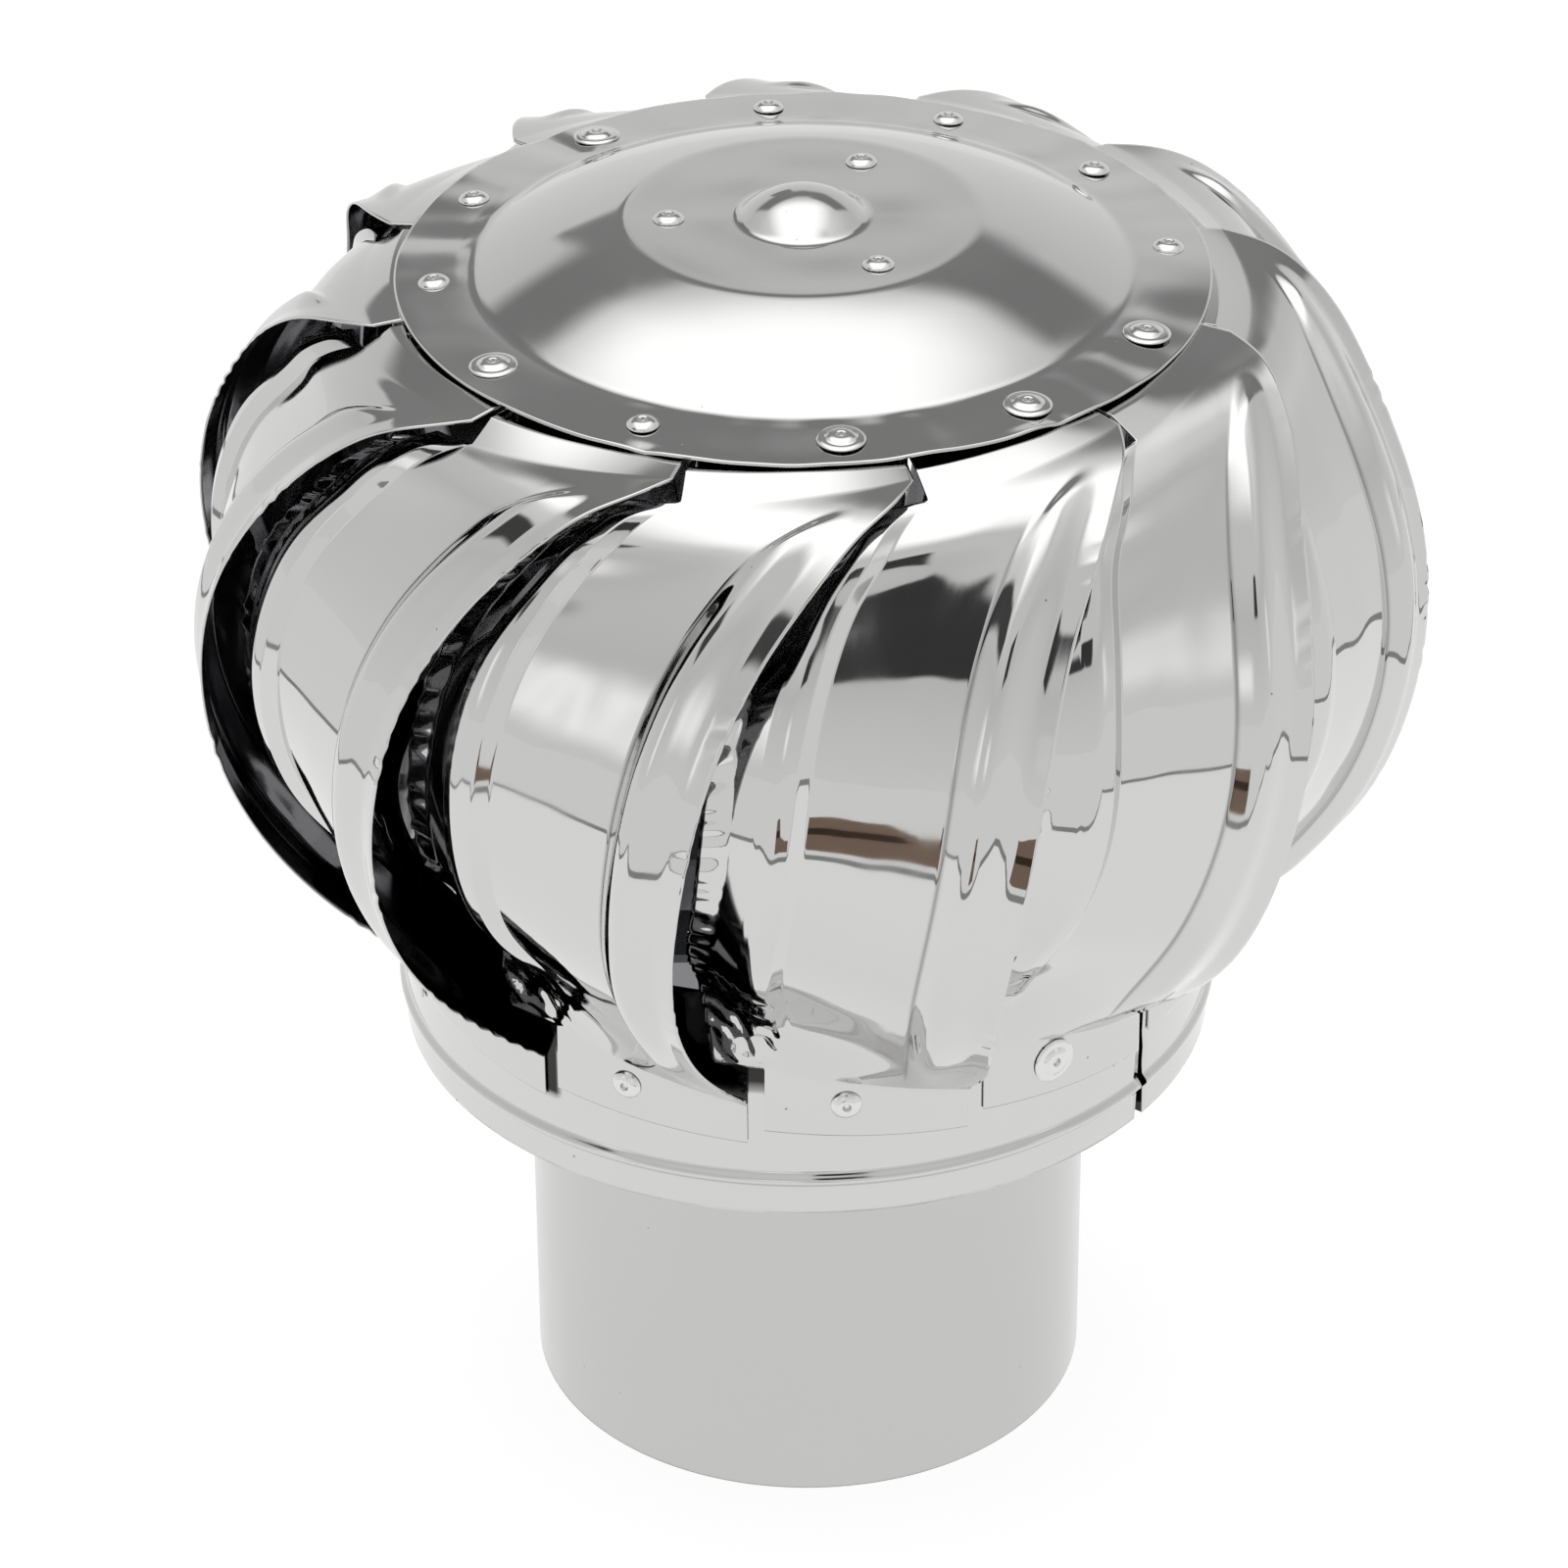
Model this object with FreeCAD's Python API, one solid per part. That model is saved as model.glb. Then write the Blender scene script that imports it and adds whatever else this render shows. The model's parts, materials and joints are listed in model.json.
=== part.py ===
"""Rotating chimney cowl: a collar that stands on the flue, and a bladed head that spins on it.

Millimetres, +Z up. The origin is the centre of the collar's lower end. Azimuths are in degrees
from the front, which faces -Y, and grow towards +X.
"""
import FreeCAD, Part
import math
import os

# Collar, the plain pipe that sleeves over the flue
COLLAR_R = 75.0
COLLAR_T = 0.6
COLLAR_H = 146.0

# Turbine ring, the split band that carries the feet of the blades
RING_R = 107.8
RING_T = 0.6
RING_H = 46.0
RING_LIFT = 114.0
RING_SPLIT = 4.0
RING_SPLIT_AZ = 53.0
BEAD_RISE = 10.5
BEAD_W = 4.4
BEAD_OUT = 1.5

# Top cap: wide flange, low dome, flat plateau and central bump
CAP_T = 0.6
RIM_LIFT = 214.2
RIM_R = 102.5
CREASE_R = 82.5
FLANGE_RISE = 1.2
PLATEAU_R = 45.0
DOME_RISE = 13.3
DOME_CROWN = 1.4
BUMP_R = 16.3
BUMP_RISE = 8.0

# Blades, thin strips with a pressed bead, a shallow rib and a turned-in lip
BLADES = 12
BLADE_T = 0.5
HEAD_R = 161.0
STRIP_W = 67.3
FIT_GAP = 0.3
BEAD_H = 3.4
RIB_H = 1.9
HOLLOW = 1.2
LIP_W = 6.5
LIP_DROP = 3.3

# Rails across a blade, as distances from the fold
RIB_RAILS = (4.0, 8.5)
RIB_FOOT = 12.0
PANEL_MIDDLE = 30.0
BEAD_FOOT = 47.5
BEAD_RAILS = (49.6, 54.5)
EDGE_STRIP = 60.0

# Where each form of a blade rises and fades, as shares of its length from its top and bottom ends
BEAD_RUN = (0.05, 0.13, 0.0, 0.12)
RIB_RUN = (0.0, 0.07, 0.08, 0.25)
HOLLOW_RUN = (0.02, 0.15, 0.02, 0.2)
FLAT_RUN = (0.0, 0.25, 0.0, 0.25)
LIP_RUN = (0.02, 0.2)

# Top tab of a blade, under the flange of the cap. It starts at the rib's right foot
TAB_IN_R = 84.5
TAB_FLAT_R = 96.0
TAB_DIP_R = 99.0
TAB_BEND_LEFT_R = 105.5
TAB_BEND_RIGHT_R = 101.5
TAB_RIGHT_AZ = 13.8
TAB_LEFT_AZ = -15.4
TAB_DIP_LEFT = 2.2
TAB_DIP_RIGHT = 1.3
TAB_SAG_LEFT = 2.6
TAB_SAG_RIGHT = 1.6

# Foot of a blade, outside the ring
FOOT_RIGHT_AZ = -8.0
FOOT_LEFT_AZ = -35.8
FOOT_RISE_LEFT = 26.0
FOOT_RISE_RIGHT = 22.0
JOIN_RISE_LEFT = 45.0
JOIN_RISE_RIGHT = 33.5

# Blind rivets
RIVET_SHANK_R = 1.95
RIVET_FIT = 0.1
SMALL_HEAD_R = 4.0
LARGE_HEAD_R = 6.0
RIVET_HEAD_H = 1.5
RIVET_EDGE = 0.3
RIVET_BULGE = 0.7
RIVET_FLANGE_H = 0.8
HOLE_REACH = 6.0
MANDREL_R = 1.1
MANDREL_DEPTH = 1.2
TAIL_R = 3.1
TAIL_H = 3.0
CAP_RIVET_AZ = 5.5
LARGE_CAP_RIVETS = (0, 1, 2, 7, 10)
RING_RIVET_RISE = 34.0
RING_RIVET_AZ = 5.2
HUB_RIVET_R = 33.5
HUB_RIVET_AZ = 33.5
HUB_RIVETS = 3

# Spindle and what clamps it across the collar
SPINDLE_R = 6.0
SPINDLE_TAIL = 5.0
SPINDLE_BEVEL = 1.0
STRAP_W = 22.0
STRAP_T = 2.5
STRAP_LEG = 20.0
STRAP_DEPTH = 14.0
SEAT_GAP = 0.05
NUT_AF = 19.0
NUT_H = 10.0
NUT_BEVEL = 0.2
WASHER_R = 12.0
WASHER_T = 2.0
CIRCLIP_R = 8.6
CIRCLIP_T = 1.2
CIRCLIP_GROOVE = 0.5
CIRCLIP_MOUTH = 3.0

# Lower bearing and the three-armed spider that holds it in the ring
LOW_BORE_R = 6.0
LOW_OUT_R = 16.0
LOW_WIDTH = 10.0
LOW_BALL_R = 2.98
LOW_BALLS = 7
LOW_LIFT = 151.0
SPIDER_ARMS = 3
SPIDER_T = 2.0
SPIDER_W = 18.0
SPIDER_LEG = 18.0
CUP_WALL = 2.0
CUP_LIP = 2.5

# Upper bearing and the housing riveted under the plateau
UP_BORE_R = 5.0
UP_OUT_R = 15.0
UP_WIDTH = 9.0
UP_BALL_R = 2.38
UP_BALLS = 8
HOUSING_R = 41.0
HOUSING_T = 1.4
TOP_NUT_AF = 17.0
TOP_NUT_H = 5.0
SPINDLE_PROUD = 1.8
RACE_LAND = 0.36
PRESS_GAP = 0.02
BALL_GAP = 0.08
CAGE_WALL = 0.8

# Heights that follow from the sizes above
RIM_Z = RING_LIFT + RIM_LIFT
CREASE_Z = RIM_Z + FLANGE_RISE
CAP_RIVET_R = (RIM_R + CREASE_R) / 2
PLATEAU_Z = CREASE_Z + DOME_RISE
TOP_Z = PLATEAU_Z + BUMP_RISE
TAB_R = RING_R + FIT_GAP + BLADE_T
STRAP_TOP = COLLAR_H - STRAP_DEPTH
HOUSING_TOP = PLATEAU_Z - CAP_T - SEAT_GAP
UP_LIFT = HOUSING_TOP - HOUSING_T - UP_WIDTH
PITCH = 360.0 / BLADES
SPIDER_AZ = RING_RIVET_AZ + PITCH
HUB_PITCH = 360.0 / HUB_RIVETS

# Stations along a blade, from the cap to the ring, as shares of its length
STATIONS = (0.0, 0.05, 0.11, 0.18, 0.27, 0.37, 0.47, 0.57, 0.67, 0.76, 0.84, 0.9, 0.95, 1.0)

Z_AXIS = FreeCAD.Vector(0, 0, 1)
CENTRE = FreeCAD.Vector(0, 0, 0)


def polar(azimuth, radius, height):
    """Point at an azimuth from the front, a radius and a height."""
    angle = math.radians(azimuth)
    return FreeCAD.Vector(radius * math.sin(angle), -radius * math.cos(angle), height)


def cylindrical(point):
    """Azimuth, radius and height of a point."""
    azimuth = math.degrees(math.atan2(point.x, -point.y))
    return azimuth, math.hypot(point.x, point.y), point.z


def turned(points):
    """Solid of revolution about Z from a closed outline of (radius, height) points."""
    wire = Part.makePolygon([FreeCAD.Vector(r, 0, z) for r, z in list(points) + [points[0]]])
    return Part.Face(wire).revolve(CENTRE, Z_AXIS, 360)


def tube(inner, outer, low, high):
    """Plain ring between two radii and two heights."""
    return turned([(inner, low), (outer, low), (outer, high), (inner, high)])


def arc_edge(start, middle, end):
    """Arc in the XZ plane through three (radius, height) points."""
    points = [FreeCAD.Vector(r, 0, z) for r, z in (start, middle, end)]
    return Part.Arc(*points).toShape()


def line_edge(start, end):
    """Straight edge in the XZ plane between two (radius, height) points."""
    return Part.makeLine(FreeCAD.Vector(start[0], 0, start[1]), FreeCAD.Vector(end[0], 0, end[1]))


def revolved(edges):
    """Solid of revolution about Z from the edges of a closed outline."""
    return Part.Face(Part.Wire(edges)).revolve(CENTRE, Z_AXIS, 360)


def around(shape, azimuth):
    """Copy of a shape turned about Z."""
    copy = shape.copy()
    copy.rotate(CENTRE, Z_AXIS, azimuth)
    return copy


# Collar and ring

def collar():
    """Plain pipe, open at both ends."""
    return tube(COLLAR_R - COLLAR_T, COLLAR_R, 0, COLLAR_H)


def bead_side(radius, height):
    """Edge of the ring's wall that runs up over the swaged bead."""
    low = RING_LIFT
    middle = RING_LIFT + BEAD_RISE
    foot = middle - BEAD_W / 2
    head = middle + BEAD_W / 2
    return [
        line_edge((radius, low), (radius, foot)),
        arc_edge((radius, foot), (radius + BEAD_OUT, middle), (radius, head)),
        line_edge((radius, head), (radius, low + height)),
    ]


def turbine_ring():
    """Band rolled from one strip, with a bead near its lower edge and its ends apart."""
    inner = RING_R - RING_T
    top = RING_LIFT + RING_H
    edges = bead_side(RING_R, RING_H) + bead_side(inner, RING_H)
    edges.append(line_edge((inner, RING_LIFT), (RING_R, RING_LIFT)))
    edges.append(line_edge((inner, top), (RING_R, top)))
    band = revolved([edge for wire in Part.sortEdges(edges) for edge in wire])
    reach = 2 * (RING_T + BEAD_OUT)
    gap = Part.makeBox(
        RING_SPLIT, 2 * reach, RING_H + 2,
        FreeCAD.Vector(-RING_SPLIT / 2, -RING_R - reach, RING_LIFT - 1))
    band = band.cut(around(gap, RING_SPLIT_AZ))
    return band.cut(Part.makeCompound(ring_holes()))


# Cap

def cap_side(drop):
    """Upper or lower outline of the cap, from the rim to the centre, lowered by drop."""
    bump_sphere = (BUMP_R ** 2 + BUMP_RISE ** 2) / (2 * BUMP_RISE)
    half = BUMP_R / 2
    half_rise = math.sqrt(bump_sphere ** 2 - half ** 2) - bump_sphere + BUMP_RISE
    crown = ((CREASE_R + PLATEAU_R) / 2, CREASE_Z + DOME_RISE / 2 + DOME_CROWN)
    rim = (RIM_R, RIM_Z - drop)
    crease = (CREASE_R, CREASE_Z - drop)
    shoulder = (PLATEAU_R, PLATEAU_Z - drop)
    foot = (BUMP_R, PLATEAU_Z - drop)
    return [
        line_edge(rim, crease),
        arc_edge(crease, (crown[0], crown[1] - drop), shoulder),
        line_edge(shoulder, foot),
        arc_edge(foot, (half, PLATEAU_Z + half_rise - drop), (0, TOP_Z - drop)),
    ]


def flange_height(radius):
    """Height of the cap flange's upper face at a radius."""
    share = (RIM_R - radius) / (RIM_R - CREASE_R)
    return RIM_Z + FLANGE_RISE * share


def top_cap():
    """One pressed sheet: flange, dome, plateau and bump."""
    edges = cap_side(0) + cap_side(CAP_T)
    edges.append(line_edge((RIM_R, RIM_Z), (RIM_R, RIM_Z - CAP_T)))
    edges.append(line_edge((0, TOP_Z), (0, TOP_Z - CAP_T)))
    sheet = revolved(Part.sortEdges(edges)[0])
    return sheet.cut(Part.makeCompound(cap_holes() + hub_holes()))


# Blades

def head_point(azimuth, swell, rise):
    """Point of a blade's edge.

    swell runs from 0 at the ring's radius to 1 at the head's widest, and rise from 0 at the
    height where the right edge meets the ring to 1 at the rim of the cap.
    """
    foot = RING_LIFT + JOIN_RISE_RIGHT
    return polar(azimuth, TAB_R + swell * (HEAD_R - TAB_R), foot + rise * (RIM_Z - foot))


def free_edge():
    """Right edge of a blade, which stands out over the next blade."""
    points = [
        head_point(13.6, 0.023, 0.986),
        head_point(10.0, 0.197, 0.98),
        head_point(6.5, 0.328, 0.967),
        head_point(2.0, 0.498, 0.925),
        head_point(-3.4, 0.69, 0.838),
        head_point(-8.2, 0.92, 0.69),
        head_point(-10.3, 1.0, 0.55),
        head_point(-11.7, 0.95, 0.397),
        head_point(-12.0, 0.79, 0.26),
        head_point(-10.7, 0.525, 0.142),
        head_point(-9.0, 0.27, 0.067),
        head_point(FOOT_RIGHT_AZ, 0.0, 0.0),
    ]
    return spline(points)


def fold_edge():
    """Left edge of a blade's face, where the sheet turns in to its lip."""
    join = (JOIN_RISE_LEFT - JOIN_RISE_RIGHT) / (RIM_LIFT - JOIN_RISE_RIGHT)
    points = [
        head_point(-21.2, 0.092, 0.957),
        head_point(-24.4, 0.187, 0.937),
        head_point(-27.3, 0.326, 0.902),
        head_point(-29.6, 0.41, 0.864),
        head_point(-32.2, 0.6, 0.795),
        head_point(-33.9, 0.77, 0.69),
        head_point(-34.7, 0.836, 0.578),
        head_point(-35.5, 0.79, 0.47),
        head_point(-36.7, 0.63, 0.362),
        head_point(-37.7, 0.335, 0.252),
        head_point(-37.0, 0.085, 0.16),
        head_point(FOOT_LEFT_AZ, 0.0, join),
    ]
    return spline(points)


def spline(points):
    """Smooth curve through points, as an edge."""
    curve = Part.BSplineCurve()
    curve.interpolate(points)
    return curve.toShape()


def along(edge, share):
    """Point at a share of an edge's length."""
    return edge.valueAt(edge.getParameterByLength(edge.Length * share))


def ramp(value, start, end):
    """Smooth step from 0 at start to 1 at end."""
    share = min(max((value - start) / (end - start), 0.0), 1.0)
    return share * share * (3 - 2 * share)


def run(station, rise_from, rise_to, fade_to, fade_from):
    """Share of a form's full height at a station."""
    return ramp(station, rise_from, rise_to) * ramp(1 - station, fade_to, fade_from)


def profile(station):
    """Cross section of a blade as (distance from the fold, height off the chord) pairs."""
    bead = BEAD_H * run(station, *BEAD_RUN)
    rib = RIB_H * run(station, *RIB_RUN)
    hollow = -HOLLOW * run(station, *HOLLOW_RUN)
    turn = LIP_DROP * ramp(1 - station, *LIP_RUN)
    return [
        (-2 * LIP_W, -1.3 * turn),
        (-LIP_W, -turn),
        (0.0, 0.0),
        (RIB_RAILS[0], rib),
        (RIB_RAILS[1], 0.85 * rib),
        (RIB_FOOT, hollow),
        (PANEL_MIDDLE, 0.8 * hollow),
        (BEAD_FOOT, hollow),
        (BEAD_RAILS[0], hollow + bead),
        (BEAD_RAILS[1], hollow + bead),
        (EDGE_STRIP, 0.3 * hollow),
        (STRIP_W, 0.0),
    ]


FOLD = 2
TAB_RAIL = 5
LAST_RAIL = 11


def between(left, right, share, roundness):
    """Point between a blade's two edges, straight across or following the head's circle."""
    straight = left + (right - left) * share
    (az_l, r_l, z_l), (az_r, r_r, z_r) = cylindrical(left), cylindrical(right)
    azimuth = az_l + (az_r - az_l) * share
    circle = polar(azimuth, r_l + (r_r - r_l) * share, z_l + (z_r - z_l) * share)
    return straight + (circle - straight) * roundness


def section(left, right, forward, station):
    """Points across a blade's outer face at one station."""
    across = (right - left).normalize()
    outward = forward.cross(across).normalize()
    roundness = 1 - run(station, *FLAT_RUN)
    points = []
    for distance, height in profile(station):
        if distance < 0:
            points.append(left + across * distance + outward * height)
            continue
        base = between(left, right, distance / STRIP_W, roundness)
        points.append(base + outward * height)
    return points


def face_grid():
    """Rows of points on a blade's outer face, one row for each station."""
    left, right = fold_edge(), free_edge()
    step = 0.01
    rows = []
    for station in STATIONS:
        a, b = along(left, station), along(right, station)
        before = max(station - step, 0.0)
        after = min(station + step, 1.0)
        forward = along(left, after) + along(right, after) - along(left, before) - along(right, before)
        rows.append(section(a, b, forward, station))
    return rows


def tab_row(left, right, first):
    """Points across a tab between (azimuth, radius, height) corners, from one rail to the last."""
    distances = [distance for distance, _ in profile(0.0)[first:]]
    row = [None] * first
    for distance in distances:
        share = (distance - distances[0]) / (STRIP_W - distances[0])
        row.append(polar(*[a + (b - a) * share for a, b in zip(left, right)]))
    return row


def top_tab_rows():
    """Rows of the tab that is riveted under the cap, from its inner end outwards."""
    under = CAP_T + FIT_GAP
    inner = flange_height(TAB_IN_R) - under
    flat = flange_height(TAB_FLAT_R) - under
    corners = [
        (TAB_IN_R, inner, TAB_IN_R, inner),
        (TAB_FLAT_R, flat, TAB_FLAT_R, flat),
        (TAB_DIP_R, RIM_Z - TAB_DIP_LEFT, TAB_DIP_R, RIM_Z - TAB_DIP_RIGHT),
        (TAB_BEND_LEFT_R, RIM_Z - TAB_SAG_LEFT, TAB_BEND_RIGHT_R, RIM_Z - TAB_SAG_RIGHT),
    ]
    rows = []
    for left_r, left_z, right_r, right_z in corners:
        left = (TAB_LEFT_AZ, left_r, left_z)
        rows.append(tab_row(left, (TAB_RIGHT_AZ, right_r, right_z), TAB_RAIL))
    return rows


def foot_row():
    """Lower edge of the tab that is riveted outside the ring."""
    left = (FOOT_LEFT_AZ, TAB_R, RING_LIFT + FOOT_RISE_LEFT)
    right = (FOOT_RIGHT_AZ, TAB_R, RING_LIFT + FOOT_RISE_RIGHT)
    return tab_row(left, right, FOLD)


def facet_normal(near, far, rail):
    """Unit normal of the facet between two rows to the right of a rail, or None off the sheet."""
    corners = (near[rail], near[rail + 1], far[rail], far[rail + 1])
    if None in corners:
        return None
    return (corners[2] - corners[1]).cross(corners[3] - corners[0]).normalize()


def lowered(rows):
    """The same rows moved to the sheet's inner face, with mitred corners."""
    rails = range(LAST_RAIL)
    normals = [[facet_normal(near, far, j) for j in rails] for near, far in zip(rows, rows[1:])]
    result = []
    for i, row in enumerate(rows):
        around_row = [normals[k] for k in (i - 1, i) if 0 <= k < len(normals)]
        line = []
        for j, point in enumerate(row):
            if point is None:
                line.append(None)
                continue
            facets = [n[k] for n in around_row for k in (j - 1, j) if 0 <= k < LAST_RAIL and n[k]]
            total = FreeCAD.Vector(0, 0, 0)
            for facet in facets:
                total += facet
            mean = total * (1.0 / total.Length)
            mitre = 1 / max(min(mean.dot(facet) for facet in facets), 0.7)
            line.append(point - mean * (BLADE_T * mitre))
        result.append(line)
    return result


def skin(outer, inner):
    """Smooth faces of a blade's main stretch: both sides and the two long edges."""
    rails_out = [spline([row[j] for row in outer]) for j in range(LAST_RAIL + 1)]
    rails_in = [spline([row[j] for row in inner]) for j in range(LAST_RAIL + 1)]
    faces = []
    for rails in (rails_out, rails_in):
        faces += [Part.makeRuledSurface(a, b) for a, b in zip(rails, rails[1:])]
    faces.append(Part.makeRuledSurface(rails_out[0], rails_in[0]))
    faces.append(Part.makeRuledSurface(rails_out[-1], rails_in[-1]))
    return faces


def band(outer, inner, first):
    """Faces of a tab from one rail to the last: both sides of its facets, and its side edges."""
    faces = []
    for k in range(len(outer) - 1):
        for rows in (outer, inner):
            near, far = rows[k], rows[k + 1]
            faces += [patch(near[j], near[j + 1], far[j], far[j + 1]) for j in range(first, LAST_RAIL)]
        for j in (first, LAST_RAIL):
            faces.append(patch(outer[k][j], outer[k + 1][j], inner[k][j], inner[k + 1][j]))
    return faces


def cut_edge(outer, inner, first, last):
    """Faces across the sheet's thickness at the end of a row, from one rail to another."""
    return [patch(outer[j], outer[j + 1], inner[j], inner[j + 1]) for j in range(first, last)]


def blade():
    """Blade of azimuth 0: a thin pressed strip with a tab at each end."""
    tabs = top_tab_rows()
    rows = tabs + face_grid() + [foot_row()]
    under = lowered(rows)
    top, bottom = len(tabs), len(rows) - 2
    faces = skin(rows[top:-1], under[top:-1])
    faces += band(rows[:top + 1], under[:top + 1], TAB_RAIL)
    faces += band(rows[bottom:], under[bottom:], FOLD)
    faces += cut_edge(rows[0], under[0], TAB_RAIL, LAST_RAIL)
    faces += cut_edge(rows[-1], under[-1], FOLD, LAST_RAIL)
    faces += cut_edge(rows[top], under[top], 0, TAB_RAIL)
    faces += cut_edge(rows[bottom], under[bottom], 0, FOLD)
    return closed(faces)


def patch(a, b, c, d):
    """Ruled face between the straight edges a-b and c-d."""
    return Part.makeRuledSurface(Part.makeLine(a, b), Part.makeLine(c, d))


def closed(faces):
    """Solid from faces that share their edges."""
    shell = Part.makeShell(faces)
    shell.sewShape()
    solid = Part.makeSolid(shell)
    if solid.Volume < 0:
        solid.reverse()
    return solid


def blades():
    """All blades, the first one at the front."""
    first = blade()
    holes = Part.makeCompound([cap_hole(0), ring_hole(-1)])
    first = first.cut(holes)
    return [around(first, PITCH * index) for index in range(BLADES)]


# Rivets and their holes

def crown_point(radius, height):
    """Point half way along the crown of a rivet's head, a little outside the straight line."""
    return (MANDREL_R + radius + RIVET_BULGE) / 2, (RIVET_HEAD_H + height + RIVET_BULGE) / 2


def rivet(head_r, grip):
    """Blind rivet set along Z with its head's seat at height 0."""
    edge = RIVET_EDGE
    low = RIVET_HEAD_H - MANDREL_DEPTH
    tail = -grip - TAIL_H
    seat = -grip - SEAT_GAP
    edges = [
        line_edge((0, low), (MANDREL_R, low)),
        line_edge((MANDREL_R, low), (MANDREL_R, RIVET_HEAD_H)),
    ]
    if head_r > SMALL_HEAD_R:
        rise = RIVET_FLANGE_H
        middle = crown_point(SMALL_HEAD_R, rise)
        edges += [
            arc_edge((MANDREL_R, RIVET_HEAD_H), middle, (SMALL_HEAD_R, rise)),
            line_edge((SMALL_HEAD_R, rise), (head_r - edge, rise)),
            line_edge((head_r - edge, rise), (head_r, edge)),
        ]
    else:
        middle = crown_point(head_r, edge)
        edges.append(arc_edge((MANDREL_R, RIVET_HEAD_H), middle, (head_r, edge)))
    edges += [
        line_edge((head_r, edge), (head_r, 0)),
        line_edge((head_r, 0), (RIVET_SHANK_R, 0)),
        line_edge((RIVET_SHANK_R, 0), (RIVET_SHANK_R, seat)),
        line_edge((RIVET_SHANK_R, seat), (TAIL_R, seat)),
        line_edge((TAIL_R, seat), (0.7 * TAIL_R, tail)),
        line_edge((0.7 * TAIL_R, tail), (0, tail)),
        line_edge((0, tail), (0, low)),
    ]
    return revolved(edges)


def hole():
    """Cutter for a rivet hole, centred on the origin along Z."""
    radius = RIVET_SHANK_R + RIVET_FIT
    return Part.makeCylinder(radius, 2 * HOLE_REACH, FreeCAD.Vector(0, 0, -HOLE_REACH))


def on_flange(shape, azimuth):
    """Shape set square to the cap's flange at the rivet circle."""
    slope = math.degrees(math.atan2(FLANGE_RISE, RIM_R - CREASE_R))
    placed = shape.copy()
    placed.rotate(CENTRE, FreeCAD.Vector(1, 0, 0), slope)
    placed.translate(FreeCAD.Vector(0, -CAP_RIVET_R, flange_height(CAP_RIVET_R) + SEAT_GAP))
    return around(placed, azimuth)


def on_ring(shape, azimuth):
    """Shape set square to the blades' feet on the ring."""
    placed = shape.copy()
    placed.rotate(CENTRE, FreeCAD.Vector(1, 0, 0), 90)
    placed.translate(FreeCAD.Vector(0, -TAB_R - SEAT_GAP, RING_LIFT + RING_RIVET_RISE))
    return around(placed, azimuth)


def on_plateau(shape, azimuth):
    """Shape set upright on the cap's plateau."""
    placed = shape.copy()
    placed.translate(FreeCAD.Vector(0, -HUB_RIVET_R, PLATEAU_Z + SEAT_GAP))
    return around(placed, azimuth)


def cap_hole(index):
    """Cutter for one hole of the cap's rivet circle."""
    return on_flange(hole(), CAP_RIVET_AZ + PITCH * index)


def ring_hole(index):
    """Cutter for one hole of the ring's rivet circle."""
    return on_ring(hole(), RING_RIVET_AZ + PITCH * index)


def cap_holes():
    """Cutters for the holes in the cap's flange."""
    return [cap_hole(index) for index in range(BLADES)]


def ring_holes():
    """Cutters for the holes in the ring."""
    return [ring_hole(index) for index in range(BLADES)]


def hub_holes():
    """Cutters for the holes in the plateau and the housing under it."""
    return [on_plateau(hole(), HUB_RIVET_AZ + HUB_PITCH * index) for index in range(HUB_RIVETS)]


def cap_rivets(large):
    """Rivets on the cap's flange, the large-headed or the small-headed ones."""
    grip = CAP_T + FIT_GAP + BLADE_T + SEAT_GAP
    body = rivet(LARGE_HEAD_R if large else SMALL_HEAD_R, grip)
    chosen = [i for i in range(BLADES) if (i in LARGE_CAP_RIVETS) == large]
    return Part.makeCompound([on_flange(body, CAP_RIVET_AZ + PITCH * i) for i in chosen])


def ring_rivets(large):
    """Rivets on the ring: large heads hold the spider too, small ones hold only a blade."""
    grip = BLADE_T + FIT_GAP + RING_T + SEAT_GAP
    if large:
        grip += SPIDER_T + SEAT_GAP
    body = rivet(LARGE_HEAD_R if large else SMALL_HEAD_R, grip)
    step = BLADES // SPIDER_ARMS
    chosen = [i for i in range(BLADES) if (i % step == 1) == large]
    return Part.makeCompound([on_ring(body, RING_RIVET_AZ + PITCH * i) for i in chosen])


def plateau_rivets():
    """Rivets that hold the upper bearing's housing."""
    body = rivet(SMALL_HEAD_R, CAP_T + HOUSING_T + SEAT_GAP)
    return Part.makeCompound([on_plateau(body, HUB_RIVET_AZ + HUB_PITCH * i) for i in range(HUB_RIVETS)])


# Bearings

def bearing_rings(bore_r, out_r, width, ball_r, lift):
    """Inner and outer ring of a deep-groove ball bearing."""
    pitch_r = (bore_r + out_r) / 2
    middle = lift + width / 2
    groove = Part.makeTorus(pitch_r, ball_r + BALL_GAP, FreeCAD.Vector(0, 0, middle))
    land = RACE_LAND * (out_r - bore_r)
    inner = tube(bore_r, bore_r + land, lift, lift + width).cut(groove)
    outer = tube(out_r - land, out_r, lift, lift + width).cut(groove)
    return inner, outer


def bearing_balls(bore_r, out_r, width, ball_r, count, lift):
    """Balls on their pitch circle."""
    pitch_r = (bore_r + out_r) / 2
    ball = Part.makeSphere(ball_r, FreeCAD.Vector(0, -pitch_r, lift + width / 2))
    return Part.makeCompound([around(ball, 360.0 / count * index) for index in range(count)])


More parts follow.
